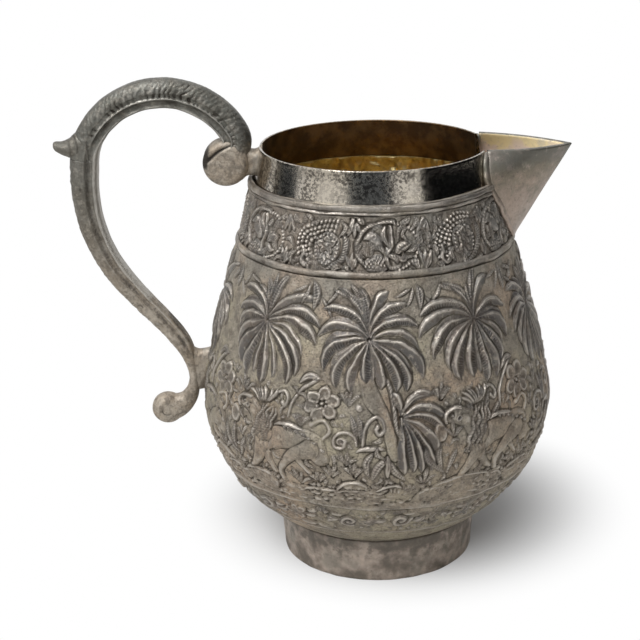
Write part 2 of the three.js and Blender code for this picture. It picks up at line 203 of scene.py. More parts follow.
def softened(field, rows, columns):
    """A field on a ring, blurred by so many rows and columns."""
    pad = int(4 * rows) + 1
    tall = np.pad(field, ((pad, pad), (0, 0)), mode="reflect" if pad < len(field) else "edge")
    up = np.fft.fftfreq(tall.shape[0])[:, None]
    across = np.fft.rfftfreq(tall.shape[1])[None, :]
    keep = np.exp(-2 * math.pi ** 2 * ((rows * up) ** 2 + (columns * across) ** 2))
    return np.fft.irfft2(np.fft.rfft2(tall) * keep, tall.shape)[pad:-pad]


def hammered(shape, rows, columns):
    """Uneven ground left by the hammer, of unit spread."""
    field = softened(rng.standard_normal(shape), rows, columns)
    return field / field.std()


# Meshes

class Sheet:
    """Collects grids of points into one closed mesh, with a bake map and numbers on its points."""

    def __init__(self):
        self.points = []
        self.count = 0
        self.faces = []
        self.maps = []
        self.marks = []
        self.rounded = []
        self.numbers = {}

    def place(self, points, **numbers):
        """Adds points and returns their indices. A number that isn't given is zero."""
        flat = points.reshape(-1, 3)
        first = self.count
        self.points.append(flat)
        self.count += len(flat)
        for name, values in numbers.items():
            self.numbers.setdefault(name, []).append((first, np.asarray(values, float).ravel()))
        return (first + np.arange(len(flat))).reshape(points.shape[:-1])

    def add(self, faces, maps, mark, rounded=True):
        """Adds faces of one kind, with their corners on the bake map."""
        self.faces.append(faces)
        self.maps.append(maps)
        self.marks.append(np.full(len(faces), mark))
        self.rounded.append(np.full(len(faces), rounded))

    def join(self, index, box, around=False, mark=0):
        """Faces over a grid of indices. The box is its part of the bake map."""
        ahead = np.roll(index, -1, axis=1) if around else index[:, 1:]
        here = index if around else index[:, :-1]
        quads = np.stack([here[:-1], ahead[:-1], ahead[1:], here[1:]], axis=-1)
        wide = quads.shape[1]
        left, low, right, high = box
        u = np.linspace(left, right, wide + 1)
        v = np.linspace(low, high, len(index))
        map_u = np.stack([u[:-1], u[1:], u[1:], u[:-1]], axis=-1)
        map_v = np.stack([v[:-1], v[:-1], v[1:], v[1:]], axis=-1)
        maps = np.empty(quads.shape + (2,))
        maps[..., 0] = map_u[None, :, :]
        maps[..., 1] = map_v[:, None, :]
        self.add(quads.reshape(-1, 4), maps.reshape(-1, 4, 2), mark)

    def fan(self, ring, box, mark=0):
        """Closes a ring of indices with one flat many-sided face."""
        angle = np.linspace(0, 2 * math.pi, len(ring), endpoint=False)
        left, low, right, high = box
        u = lerp(left, right, 0.5 + 0.5 * np.cos(angle))
        v = lerp(low, high, 0.5 + 0.5 * np.sin(angle))
        self.add(np.array(ring)[None, :], np.stack([u, v], axis=-1)[None], mark, False)

    def tube(self, grid, box, tall):
        """Faces round a tube of indices. Its closed ends lie over its box in the bake map, so tall."""
        left, high = box[0], box[3]
        self.join(grid, box, True)
        self.fan(grid[0][::-1], (left, high, left + 0.05, high + tall))
        self.fan(grid[-1], (left + 0.06, high, left + 0.11, high + tall))

    def stitch(self, fine, coarse, box):
        """Joins a ring to one with several times fewer points, with a many-sided face for each."""
        share = len(fine) // len(coarse)
        count = len(coarse)
        left, low, right, high = box
        rings, maps = [], []
        for k in range(count):
            steps = [fine[(k * share + j) % len(fine)] for j in range(share + 1)]
            rings.append(steps + [coarse[(k + 1) % count], coarse[k]])
            u = [lerp(left, right, (k + j / share) / count) for j in range(share + 1)]
            maps.append([(x, low) for x in u] + [(u[-1], high), (u[0], high)])
        self.add(np.array(rings), np.array(maps), 0)

    def piece(self, name, finishes, slot, *nodes):
        """Makes the object, which rides on the jug and stands for CAD nodes."""
        points = (np.vstack(self.points) + np.array([axis_x, 0, 0])) / MM
        mesh = bpy.data.meshes.new(name)
        sizes = np.concatenate([np.full(len(faces), faces.shape[1]) for faces in self.faces])
        corners = np.concatenate([faces.ravel() for faces in self.faces])
        mesh.vertices.add(len(points))
        mesh.vertices.foreach_set("co", points.astype(np.float32).ravel())
        mesh.loops.add(len(corners))
        mesh.loops.foreach_set("vertex_index", corners.astype(np.int32))
        mesh.polygons.add(len(sizes))
        starts = np.concatenate([[0], np.cumsum(sizes)[:-1]])
        mesh.polygons.foreach_set("loop_start", starts.astype(np.int32))
        mesh.polygons.foreach_set("material_index", np.concatenate(self.marks).astype(np.int32))
        mesh.polygons.foreach_set("use_smooth", np.concatenate(self.rounded))
        bake = mesh.uv_layers.new(name="OFBake")
        maps = np.concatenate([part.reshape(-1, 2) for part in self.maps])
        bake.data.foreach_set("uv", maps.astype(np.float32).ravel())
        for number, parts in self.numbers.items():
            values = np.zeros(len(points))
            for first, part in parts:
                values[first:first + len(part)] = part
            mesh.attributes.new(number, "FLOAT", "POINT").data.foreach_set("value", values)
        mesh.update(calc_edges=True)
        mesh.validate()
        for finish in finishes:
            mesh.materials.append(finish)
        thing = bpy.data.objects.new(name, mesh)
        bpy.context.scene.collection.objects.link(thing)
        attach(thing, "root")
        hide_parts(*nodes)
        return thing


def carried_round(radius, azimuth, level):
    """Points at radii and levels, at each azimuth in degrees."""
    angle = np.radians(azimuth)
    return np.stack([radius * np.cos(angle), radius * np.sin(angle), level], axis=-1)


def turned(outline, azimuth):
    """A grid of points: an outline of [radius, height] rows, carried round to each azimuth in degrees."""
    level = np.broadcast_to(outline[:, 1:], (len(outline), len(azimuth)))
    return carried_round(np.broadcast_to(outline[:, :1], level.shape), azimuth, level)


def all_round(columns):
    """Even azimuths from -X round to it again."""
    return np.arange(columns) * 360 / columns - 180


# Chasing

# How far the hand strays in millimetres, and the cells of the grid from one stray to the next
hand_waver = [(0.15, 11), (0.06, 4)]
form_edge = (-0.12, 0.1)  # distances outside a form's line between which the form ends
cut_place = 0.12  # from a form's line to the middle of the cut round it
cut_width = 0.13
narrowing = 1.2  # the most that a row near a spot is narrower than the spot's own row


class Chasing:
    """The chased side of a ring of sheet: how far each place of its grid stands out, and its finish."""

    def __init__(self, outline, columns, ground):
        self.outline = outline
        self.azimuth = all_round(columns)
        self.radius, self.level = outline.T
        self.along = np.concatenate([[0], np.cumsum(np.hypot(*np.diff(outline, axis=0).T))])
        shape = (len(outline), columns)
        self.ground = ground
        self.height = np.full(shape, ground)
        self.matt = np.ones(shape)
        self.tone = np.full(shape, 0.5)
        self.tick_place = np.zeros(shape)
        self.tick_depth = np.zeros(shape)
        self.waver = [
            sum(astray * hammered(shape, cells, cells) for astray, cells in hand_waver) for _ in range(2)
        ]
        self.press = np.clip(0.8 + 0.45 * hammered(shape, 9, 9), 0.1, 1.6)

    def patch(self, spot, low, high):
        """Rows and columns near a spot, with each point's millimetres to the right of it and above it."""
        azimuth, level = spot
        middle = np.interp(level, self.level, self.along)
        rows = np.flatnonzero((self.along > middle + low[1]) & (self.along < middle + high[1]))
        turn = np.radians((self.azimuth - azimuth + 180) % 360 - 180)
        radius = np.interp(level, self.level, self.radius)
        right = turn * radius
        columns = np.flatnonzero((right > low[0] * narrowing - 1) & (right < high[0] * narrowing + 1))
        where = np.ix_(rows, columns)
        across = self.radius[rows][:, None] * turn[columns][None, :] + self.waver[0][where]
        up = (self.along[rows] - middle)[:, None] + self.waver[1][where]
        return where, across, up

    def lay(self, where, away, height, cut, matt):
        """Lays a form over what is there: away is the distance outside its line. A cut goes round it."""
        cover = 1 - smooth(*form_edge, away)
        groove = cut * self.press[where] * np.exp(-((away - cut_place) / cut_width) ** 2) * (1 - cover)
        self.height[where] = lerp(self.height[where] - groove, self.ground + height, cover)
        self.matt[where] = lerp(self.matt[where], matt, cover)
        # painted shade: the form darkens away from its highest place, over a random tone
        slope = 1 - np.clip(height / max(np.max(height), 0.01), 0, 1)
        self.tone[where] = lerp(self.tone[where], vary(0, 0.7) + 0.6 * slope, cover)
        self.tick_depth[where] *= 1 - cover
        return cover

    def stroke(self, spot, line, half, height, section, side=1, cut=0.14, matt=0.0, ticks=None):
        """A form carried along a line: half widths and heights at even places, and a section across."""
        reach = max(half) + 0.7
        where, across, up = self.patch(spot, line.min(axis=0) - reach, line.max(axis=0) + reach)
        if across.size == 0:
            return
        share, offset = beside(line, across, up)
        wide = np.interp(share, np.linspace(0, 1, len(half)), half)
        tall = np.interp(share, np.linspace(0, 1, len(height)), height)
        place = np.clip(side * offset / np.maximum(wide, 0.05), -1, 1)
        cover = self.lay(where, np.abs(offset) - wide, tall * section(place), cut, matt)
        if ticks:
            pitch, depth, middle, spread = ticks
            length = np.hypot(*np.diff(line, axis=0).T).sum()
            band = np.exp(-((place - middle) / spread) ** 2)
            ticked = share * length / pitch + 0.4 * place + vary()
            self.tick_place[where] = np.where(cover > 0.5, ticked, self.tick_place[where])
            self.tick_depth[where] = np.maximum(self.tick_depth[where], depth * cover * band)

    def boss(self, spot, middle, radii, height, section, cut=0.14, tilt=0.0, matt=0.0):
        """An oval form with a section from its middle, 0, to its edge, 1."""
        middle = np.array(middle, float)
        reach = max(radii) + 0.7
        where, across, up = self.patch(spot, middle - reach, middle + reach)
        if across.size == 0:
            return
        turn = math.radians(tilt)
        right, above = across - middle[0], up - middle[1]
        x = (right * math.cos(turn) + above * math.sin(turn)) / radii[0]
        y = (above * math.cos(turn) - right * math.sin(turn)) / radii[1]
        far = np.hypot(x, y)
        self.lay(where, (far - 1) * min(radii), height * section(np.clip(far, 0, 1)), cut, matt)

    def ridge(self, level, half, height, cut=0.12):
        """A raised line all the way round."""
        away = np.abs(self.along - np.interp(level, self.level, self.along))[:, None]
        away = away + 0.12 * hammered((1, len(self.azimuth)), 0.01, 20)
        shape = np.sqrt(np.clip(1 - (away / half) ** 2, 0, 1))
        everywhere = np.ix_(range(len(self.along)), range(len(self.azimuth)))
        self.lay(everywhere, away - half, height * shape, cut, 0.3)

    def clear_below(self, level):
        """Plain ground under a level."""
        rows = self.level < level
        self.height[rows] = self.ground
        self.matt[rows] = 1
        self.tick_depth[rows] = 0

    def hammer(self, marks):
        """Marks of the hammer over everything."""
        for depth, cells in marks:
            self.height += depth * hammered(self.height.shape, cells, cells)

    def fade(self, foot, top):
        """0 on the lower and upper edges of the sheet, and 1 from so far inside them."""
        return (smooth(0, foot, self.along) * smooth(0, top, self.along[-1] - self.along))[:, None]

    def room(self, spot, reach):
        """How much of the ground round a spot is still bare."""
        where, across, up = self.patch(spot, (-reach, -reach), (reach, reach))
        near = (np.abs(across) < reach) & (np.abs(up) < reach)
        return self.matt[where][near].min() if near.any() else 0

    def crest(self, rows, columns):
        """How much each place stands over its surroundings, positive on edges and negative in cuts."""
        return self.height - softened(self.height, rows, columns)


def beside(line, across, up):
    """For each point: the share of the line passed at its nearest place, and its distance to the left."""
    start, step = line[:-1], np.diff(line, axis=0)
    right = across[..., None] - start[:, 0]
    above = up[..., None] - start[:, 1]
    share = np.clip((right * step[:, 0] + above * step[:, 1]) / (step ** 2).sum(axis=1), 0, 1)
    gap_x = right - share * step[:, 0]
    gap_y = above - share * step[:, 1]
    distance = gap_x ** 2 + gap_y ** 2
    near = distance.argmin(axis=-1)[..., None]

    def pick(values):
        return np.take_along_axis(values, near, axis=-1)[..., 0]

    turn = pick(step[:, 0] * above - step[:, 1] * right)
    offset = np.sqrt(pick(distance)) * np.where(turn >= 0, 1, -1)
    return (near[..., 0] + pick(share)) / len(step), offset


# Sections across a chased form

def domed(q):
    """A half round."""
    return np.sqrt(np.clip(1 - q * q, 0, 1))


def sickled(q):
    """A rounded crest near the upper edge, and a slope down to the lower one."""
    crest = 0.42
    over = np.clip((1 - q) / (1 - crest), 0, 1) ** 0.65
    under = 0.26 + 0.74 * np.clip((1 + q) / (1 + crest), 0, 1) ** 1.9
    return np.where(q > crest, over, under)


def flat_topped(q):
    """Nearly flat, with upright edges."""
    return 0.78 + 0.22 * (1 - q * q)


def hollowed(q):
    """A raised edge round a dished middle."""
    return 0.35 + 0.65 * smooth(0.35, 0.8, np.abs(q))


def ribbed(q):
    """Two lobes with a vein between them."""
    return domed(q) * (0.55 + 0.45 * np.clip(np.abs(q) * 3.2, 0, 1))


# Motifs of the belly

# Half widths and heights of a form, from its root to its tip
frond_half = np.array([0.2, 0.48, 0.82, 1.0, 1.02, 0.76, 0.18])
frond_height = np.array([0.28, 0.44, 0.6, 0.68, 0.64, 0.48, 0.2])
upright_half = [0.16, 0.42, 0.68, 0.78, 0.7, 0.46, 0.1]
upright_height = [0.22, 0.36, 0.5, 0.54, 0.5, 0.4, 0.2]
blade_half = np.array([0.25, 0.75, 1, 0.85, 0.12])
blade_height = np.array([0.6, 1, 1, 0.8, 0.5])
vine_half = np.array([0.8, 1, 1, 1.1, 1.3])
vine_height = np.array([0.7, 1, 1, 1])

# Rows of fine cuts across a form: pitch and depth, and where the row lies across it and how widely
fine_ticks = (0.55, 1.0, -0.45, 0.45)
leaf_ticks = (0.5, 0.7, 0.0, 0.8)
rope_ticks = (0.7, 0.9, 0, 1.2)

droop = 50  # degrees that a level frond falls from where it starts
leaf_cut = 0.16
filler_gap = (17, 50)  # degrees between two fronds that a smaller one fills
filler_half = 0.62 * frond_half
filler_height = 0.72 * frond_height


def bearing_line(bearing, reach):
    """The place at a bearing, clockwise from straight up."""
    turn = math.radians(bearing)
    return reach * np.array([math.sin(turn), math.cos(turn)])


def frond_line(bearing, reach):
    """A frond's line from the crown: it starts nearer upright and falls to its tip's bearing."""
    start = bearing - droop * math.sin(math.radians(bearing))
    tip = bearing_line(bearing, reach)
    bend = bearing_line(start, 0.6 * reach)
    over = lerp(bend, tip, 0.6) + 0.14 * np.linalg.norm(tip - bend) * (bend / np.linalg.norm(bend))
    return bezier([(0, 0), bend, over, tip], 18)


# Fronds of three palms, as bearings of their tips and reaches, and their upright leaves
palm_shapes = [
    (
        [(63, 11.4), (-56, 9.0), (86, 11.4), (-90, 8.6), (103, 11.2), (-111, 8.4), (-133, 9.0),
         (138, 11.6), (150, 12.0), (-147, 10.4), (-160, 11.2), (178, 11.6)],
        [(-31, 7.4), (-12, 8.4), (4, 9.2), (22, 9.5)],
    ),
    (
        [(20, 9.7), (-57, 10.0), (46, 9.4), (-87, 9.6), (77, 9.4), (-122, 10.4), (125, 12.2),
         (-143, 10.6), (143, 11.4), (-159, 9.8), (152, 10.4), (-174, 7.4), (167, 9.0)],
        [(-31, 11.2), (-17, 11.0), (-9, 10.2)],
    ),
    (
        [(36, 8.8), (-78, 11.0), (86, 8.4), (-97, 11.8), (120, 9.0), (-119, 11.2), (-138, 10.4),
         (150, 9.8), (-151, 11.4), (163, 11.6), (-166, 10.6), (176, 11.4)],
        [(-35, 9.2), (-6, 6.6), (11, 9.8)],
    ),
]


def frond(belly, spot, crown, bearing, reach, half, ticks):
    """One frond from a crown, with its crest on the upper side."""
    line = crown + frond_line(bearing, reach)
    side = 1 if bearing > 0 else -1
    belly.stroke(spot, line, half, frond_height, sickled, side, leaf_cut, ticks=ticks)


def palm(belly, spot, shape):
    """A palm's crown: upright leaves, small fronds in the gaps, and fronds that each lie over the last."""
    fronds, leaves = shape
    for bearing, reach in leaves:
        line = frond_line(bearing, reach)
        belly.stroke(spot, line, upright_half, upright_height, ribbed, ticks=leaf_ticks)
    order = sorted(fronds)
    after = order[1:] + [(order[0][0] + 360, order[0][1])]
    for (bearing, reach), (next_bearing, next_reach) in zip(order, after):
        if filler_gap[0] < next_bearing - bearing < filler_gap[1]:
            line = frond_line((bearing + next_bearing) / 2, 0.44 * (reach + next_reach))
            belly.stroke(spot, line, filler_half, filler_height, sickled)
    for k, (bearing, reach) in enumerate(fronds):
        drooping = lerp(0.9, 1.12, smooth(70, 130, abs(bearing)))
        half = frond_half * vary(0.88, 1.06) * drooping
        frond(belly, spot, np.zeros(2), bearing, reach, half, fine_ticks if k % 3 else None)


def leaf(metal, spot, places, wide, tall=0.45, section=ribbed, matt=0.0, ticks=None):
    """A pointed leaf along a line through a few places."""
    line, half, height = through(places, 8), wide * blade_half, tall * blade_height
    metal.stroke(spot, line, half, height, section, cut=leaf_cut, matt=matt, ticks=ticks)


def vine(metal, spot, places, wide=0.3, tall=0.45):
    """A thin stem through a few places, thicker at its end."""
    metal.stroke(spot, through(places, 8), wide * vine_half, tall * vine_height, domed)


def rosette(metal, spot, petals, radius, height=0.4):
    """An open flower: uneven petals with raised edges and pointed tips round a beaded middle."""
    for k in range(petals):
        angle = 360 * (k + 0.25) / petals + vary(-6, 6)
        size = radius * vary(0.9, 1.1)
        tip = [bearing_line(90 - angle, share * size) for share in (0.7, 0.9, 1.16)]
        leaf(metal, spot, tip, 0.2 * radius, height, domed, matt=0.3)
        radii = (0.42 * size, 0.36 * radius)
        tilt = angle + vary(-12, 12)
        metal.boss(spot, tip[0] * 0.92, radii, height, hollowed, cut=0.15, tilt=tilt, matt=0.3)
    for k in range(petals):
        bead = bearing_line(360 * k / petals, 0.26 * radius)
        metal.boss(spot, bead, (0.32, 0.32), 0.9 * height, domed, cut=0.1)
    metal.boss(spot, (0, 0), (0.38, 0.38), 0.9 * height, domed, cut=0.1)


# A bay with a trunk, as places in millimetres to the right of a spot on the trunk and above it
bay_level = 36
trunk_line = through([(-3.2, 13), (-2.1, 8.6), (-0.1, 4.8), (1.0, 2.0), (1.9, -2.2)], 8)
trunk_half = [1.3, 1.4, 1.25, 1.1, 1.1]
trunk_height = [0.3, 0.32, 0.3, 0.22]
rope_line = through([(0.6, 12), (1.5, 9.0), (2.3, 3.8), (3.1, 1.6), (4.0, -1.4)], 8)
fern_crown = np.array([3.4, 4.7])
fern_fronds = [
    (-20, 5.0), (56, 7.4), (95, 8.6), (117, 9.2), (138, 9.8),
    (153, 12.0), (161, 11.2), (169, 10.3), (180, 10.6),
]
high_leaf = [(3.6, 6.2), (6.0, 8.6), (9.4, 8.9)]
lily_leaves = [
    ([(-4.8, 0.0), (-5.8, 3.5), (-6.5, 5.8)], 0.62),
    ([(-4.2, 0.4), (-4.7, 3.3), (-5.0, 5.8)], 0.6),
]
crozier = [
    (-3.8, -0.8), (-3.9, 2.0), (-3.2, 4.2), (-1.7, 5.1), (-0.4, 4.4),
    (0.0, 2.8), (-0.9, 1.6), (-1.7, 2.5), (-1.3, 3.2),
]
tendril = [(-4.9, -0.4), (-5.6, 1.4), (-7.4, 2.2), (-9.2, 1.2), (-9.0, -0.6), (-7.6, -0.8), (-7.2, 0.5)]
fallen_leaf = [(-5.0, -1.6), (-3.0, -1.0), (0.2, -1.2)]
root_leaves = [
    ([(-2.0, -1.8), (-3.3, -3.8), (-2.9, -6.4)], 0.75),
    ([(0.6, -2.5), (-1.2, -4.6), (-2.4, -7.0)], 0.7),
    ([(0.6, -2.5), (1.8, -5.4), (3.8, -7.4)], 0.75),
]
root_shoot = [(0.5, -6.8), (0.6, -4.6), (0.7, -2.4)]
agave_root = np.array([18.6, -3.6])
agave_tips = [
    (15.7, 8.2), (18.6, 7.0), (21.4, 7.9), (24.8, 6.0),
    (17.2, 3.6), (15.4, 2.0), (23.2, 2.2), (15.0, -3.2),
]


def trunk_bay(belly, azimuth):
    """A bent trunk with a twisted stem beside it, a drooping fern, and a crozier among lilies."""
    spot = (azimuth, bay_level)
    belly.stroke(spot, trunk_line, trunk_half, trunk_height, flat_topped, cut=0.2, matt=0.85)
    belly.stroke(spot, rope_line, [0.4, 0.5, 0.5, 0.4], [0.4, 0.45, 0.4], domed, cut=0.2, ticks=rope_ticks)
    for k, (bearing, reach) in enumerate(fern_fronds):
        frond(belly, spot, fern_crown, bearing, reach, 0.92 * frond_half, fine_ticks if k % 2 else None)
    leaf(belly, spot, high_leaf, 0.6)
    for places, wide in lily_leaves:
        leaf(belly, spot, places, wide, ticks=leaf_ticks)
    vine(belly, spot, crozier, 0.36)
    vine(belly, spot, tendril, 0.32)
    belly.boss(spot, (-7.9, 0.4), (0.8, 0.7), 0.42, hollowed)
    belly.boss(spot, (-4.6, 6.9), (0.8, 0.6), 0.5, domed, cut=0.16, tilt=20)
    leaf(belly, spot, fallen_leaf, 0.5, section=domed)
    for places, wide in root_leaves:
        leaf(belly, spot, places, wide, ticks=leaf_ticks)
    leaf(belly, spot, root_shoot, 0.6)


def agave(belly, azimuth):
    """A clump of stiff pointed leaves."""
    for tip in agave_tips:
        bend = lerp(agave_root, np.array(tip), 0.5) + [0.35, 0.5]
        leaf(belly, (azimuth, bay_level), [agave_root, bend, tip], 0.62, 0.5, ticks=leaf_ticks)


# A bay with a beast, as places about a spot on its flank
beast_level = 34
flower_turn, flower_level = 10, 42.9
hanging_vine = [(-0.4, 5.8), (-0.1, 7.6), (0.5, 9.4), (2.5, 11.9), (4.4, 13.6)]
hanging_leaf = [(1.4, 12.4), (3.2, 14.0), (5.2, 13.8)]
curled_vine = [(-4.2, 9.0), (-3.2, 10.0), (-1.8, 10.3), (-0.9, 9.0), (-1.5, 7.8), (-2.2, 8.4)]
brow = [(-12.7, 5.4), (-12.8, 6.4), (-12.2, 7.3), (-10.9, 7.8), (-9.6, 7.5)]
back_line = [(-3.4, 3.8), (-1.4, 4.4), (1.0, 4.3), (3.2, 3.9)]
thicket = [
    [(-13.4, -4.6), (-14.6, -1.2), (-14.0, 1.6)],
    [(-13.0, -4.6), (-16.2, -2.0), (-17.2, 1.4)],
    [(-12.6, -4.8), (-11.8, -2.2), (-11.0, -0.4)],
]
beast_limbs = [  # places, half widths and heights, each laid over the last
    # tail
    ([(6.2, 2.2), (7.6, 4.2), (6.6, 6.0), (4.4, 5.2)], [0.4, 0.36, 0.34, 0.5], [0.4, 0.4]),
    # far legs
    ([(-5.6, -1.8), (-5.0, -3.6), (-4.2, -4.8), (-3.2, -5.8)], [1.1, 0.75, 0.6, 0.45], [0.36, 0.34]),
    ([(1.8, 0.0), (1.6, -1.6), (2.6, -3.2), (3.8, -4.6)], [1.2, 0.85, 0.55, 0.4], [0.36, 0.34]),
    # body
    ([(-5.4, 0.6), (-2.0, 1.6), (1.6, 2.0), (4.6, 1.0), (6.2, -1.2)],
     [2.3, 2.2, 2.3, 2.6, 1.6], [0.5, 0.56, 0.58, 0.58, 0.5]),
    # near legs
    ([(4.2, 0.4), (1.0, -1.2), (-1.4, -3.6), (-2.2, -5.4), (-1.4, -7.6)],
     [2.0, 1.3, 0.75, 0.6, 0.45], [0.56, 0.5, 0.42]),
    ([(-6.2, 0.6), (-7.2, -2.6), (-8.4, -4.8), (-9.6, -6.4)], [1.7, 1.2, 0.75, 0.5], [0.52, 0.5, 0.42]),
    # neck and head
    ([(-5.8, 2.0), (-7.4, 4.4), (-9.0, 5.8)], [2.2, 2.0, 1.5], [0.52, 0.56, 0.56]),
    ([(-7.6, 4.8), (-9.4, 5.9), (-11.6, 6.5)], [1.6, 1.6, 1.2], [0.56, 0.6, 0.56]),
]


def beast_bay(belly, azimuth):
    """A beast with a heavy mane that looks back to the left, under a flower and a hanging vine."""
    spot = (azimuth, beast_level)
    rosette(belly, (azimuth + flower_turn, flower_level), 6, 3.3)
    vine(belly, spot, hanging_vine, 0.28)
    leaf(belly, spot, hanging_leaf, 0.6)
    vine(belly, spot, curled_vine)
    for places, half, height in beast_limbs:
        belly.stroke(spot, through(places, 8), half, height, domed, cut=0.12, matt=0.75)
    beast_face(belly, spot)
    mane(belly, spot)
    spine(belly, spot)
    belly.boss(spot, (-13.9, 3.5), (1.1, 1.7), 0.42, hollowed, cut=0.16, matt=0.4)
    for places in thicket:
        leaf(belly, spot, places, 0.6, ticks=leaf_ticks)


def beast_face(belly, spot):
    """A pale cheek, a brow, a sunk eye and a nostril."""
    belly.boss(spot, (-8.5, 5.1), (1.6, 1.0), 0.72, domed, cut=0.08, tilt=-40, matt=0.95)
    vine(belly, spot, brow, 0.34, 0.82)
    belly.boss(spot, (-11.5, 6.5), (0.72, 0.56), 0.02, domed, cut=0.3, tilt=25)
    belly.boss(spot, (-11.2, 6.4), (0.3, 0.26), 0.5, domed, cut=0.1)
    belly.boss(spot, (-10.1, 5.7), (0.56, 0.5), 0.8, hollowed, cut=0.2)


def mane(belly, spot):
    """Wavy locks down the neck, and a fringe that stands up over the head."""
    for lock in range(5):
        root = np.array([-2.9 - 0.8 * lock, 7.2])
        tip = np.array([-5.8 - 0.8 * lock, vary(-1.6, 0.4)])
        side = rng.choice([-1, 1])
        waves = []
        for k in range(7):
            waves.append(lerp(root, tip, k / 6) + [side * vary(0.1, 0.4), vary(-0.3, 0.3)])
            side = -side
        wide, tall = vary(0.38, 0.56), vary(0.5, 0.72)
        leaf(belly, spot, waves, wide, tall, domed, matt=vary(0, 0.5), ticks=leaf_ticks)
    first_tip, last_tip = np.array([-9.6, 9.8]), np.array([-3.2, 10.8])
    for k in range(8):
        tip = lerp(first_tip, last_tip, k / 7) + vary(-0.5, 0.5, 2)
        root = np.array([-7.0 + 0.3 * k, 7.4 + 0.08 * k])
        bend = lerp(root, tip, 0.5) + [0.45, 0.1]
        leaf(belly, spot, [root, bend, tip], 0.4, vary(0.55, 0.8), domed)


def spine(belly, spot):
    """The line of the back, with short hairs along it."""
    leaf(belly, spot, back_line, 0.52, 0.8, domed)
    for k in range(7):
        root = np.array([-1.4 + 1.25 * k, 4.1 - 0.09 * k * k])
        tip = root + vary(0.8, 1.6) * np.array([0.8, -0.5])
        leaf(belly, spot, [root, root + [0.6, -0.2], tip], 0.34, 0.7)


def mound(belly, spot, wide, tall):
    """A rock of the grove's floor: an uneven lump with a worn upper edge and cuts that follow its slope."""
    lump = domed if vary() < 0.6 else flat_topped
    height, tilt, matt = vary(0.3, 0.55), vary(-14, 14), vary(0.4, 0.9)
    belly.boss(spot, (0, -0.4), (wide, tall + 0.4), height, lump, cut=0.18, tilt=tilt, matt=matt)
    arc = np.radians(np.linspace(vary(4, 40), vary(130, 176), 18))
    edge = np.column_stack([-wide * np.cos(arc), tall * np.sin(arc)])
    edge_height = vary(0.45, 0.68) * np.array([0.7, 1, 0.8, 1, 0.7])
    belly.stroke(spot, edge, [0.14, 0.34, 0.24, 0.36, 0.14], edge_height, domed, matt=0.25)
    for share in np.linspace(-0.6, 0.6, rng.integers(3, 6)):
        foot = np.array([0.6 * share * wide, 0.05 * tall])
        tip = np.array([share * wide, 0.7 * tall * math.sqrt(1 - share * share)])
        bend = lerp(foot, tip, 0.5) + vary(-0.2, 0.2, 2)
        leaf(belly, spot, [foot, bend, tip], vary(0.24, 0.4), 0.5, matt=vary(0.2, 0.6))


def contour(belly, spot, reach):
    """A long wavy fold of the floor."""
    places = [(lerp(-reach, reach, share), vary(-0.6, 0.6)) for share in np.linspace(0, 1, 5)]
    crest = vary(0.4, 0.6)
    height = [0.3, crest, 0.36, crest, 0.3]
    half = [0.12, 0.32, 0.24, 0.34, 0.12]
    belly.stroke(spot, through(places, 6), half, height, domed, cut=0.16, matt=0.35)


def stones(belly, low, high, count, size=1.0, tall=0.3):
    """Low worn stones between two levels."""
    for _ in range(count):
        spot = (vary(-180, 180), vary(low, high))
        radii = size * vary(0.6, 1.9), size * vary(0.4, 0.9)
        height = tall * vary(0.5, 1.5)
        tilt, matt = vary(-30, 30), vary(0.1, 0.8)
        belly.boss(spot, (0, 0), radii, height, domed, cut=0.16, tilt=tilt, matt=matt)


def tuft(belly, spot, leaves, reach):
    """A few leaves that spread from one root."""
    for k in range(leaves):
        bearing = lerp(-66, 66, (k + 0.5) / leaves) + vary(-12, 12)
        tip = bearing_line(bearing, reach * vary(0.7, 1.15))
        bend = 0.5 * tip + [0, 0.16 * reach]
        wide, matt = vary(0.3, 0.46), vary(0, 0.4)
        leaf(belly, spot, [(0, 0), bend, tip], wide, 0.36, matt=matt, ticks=leaf_ticks)


def stray_leaf(metal, spot, size):
    """A small bent leaf that points anywhere but down."""
    tip = size * bearing_line(vary(-75, 75), vary(1.0, 2.4))
    bend = 0.1 * tip + 0.3 * np.array([tip[1], -tip[0]]) * rng.choice([-1, 1])
    wide, tall = size * vary(0.26, 0.46), size * vary(0.2, 0.42)
    leaf(metal, spot, [-tip / 2, bend, tip / 2], wide, tall, matt=vary(0.1, 0.6), ticks=leaf_ticks)


def strew(metal, low, high, tries, room, size=1.0):
    """Single leaves wherever the ground between two levels is still bare."""
    for _ in range(tries):
        spot = (vary(-180, 180), vary(low, high))
        if metal.room(spot, room) > bare:
            stray_leaf(metal, spot, size)


def undergrowth(belly, low, high, tries):
    """Tufts, and then single leaves, wherever the ground between two levels is still bare."""
    for _ in range(tries):
        spot = (vary(-180, 180), vary(low, high))
        if belly.room((spot[0], spot[1] + 1.2), 1.1) > bare:
            tuft(belly, spot, rng.integers(3, 6), vary(2.2, 3.6))
    strew(belly, low, high, 3 * tries, 0.5)


# Places on the belly, as degrees round from +X and millimetres up
palm_spots = [
    (-134, 55.8), (-94.3, 54.6), (-54.1, 56.2), (-19, 54.2), (22, 55.6),
    (62, 54.8), (103, 55.8), (143, 54.8), (184, 55.6),
]
trunk_turn = 4.3  # of a trunk from every second palm
beast_turns = [14, 5.5, 14, 14, 14]  # of the beasts from the palms between those
gap_leaves = [  # between the palms' tops: turn from a palm, level, tip and width
    (19.0, 59.8, (-0.2, 4.6), 0.68),
    (13.6, 60.4, (1.6, 3.6), 0.34),
    (23.6, 60.6, (2.4, 3.2), 0.32),
    (26.0, 58.6, (-2.4, 3.4), 0.34),
    (-7.4, 62.2, (-3.0, 1.2), 0.34),
    (9.6, 62.6, (3.0, 1.0), 0.32),
]
grove_low, grove_high = 25, 45
ridge_level = 22.1
border_level = 18.3
border_foot = 14.5
border_motifs = 18
base_margin = 3.2  # plain sheet under the border
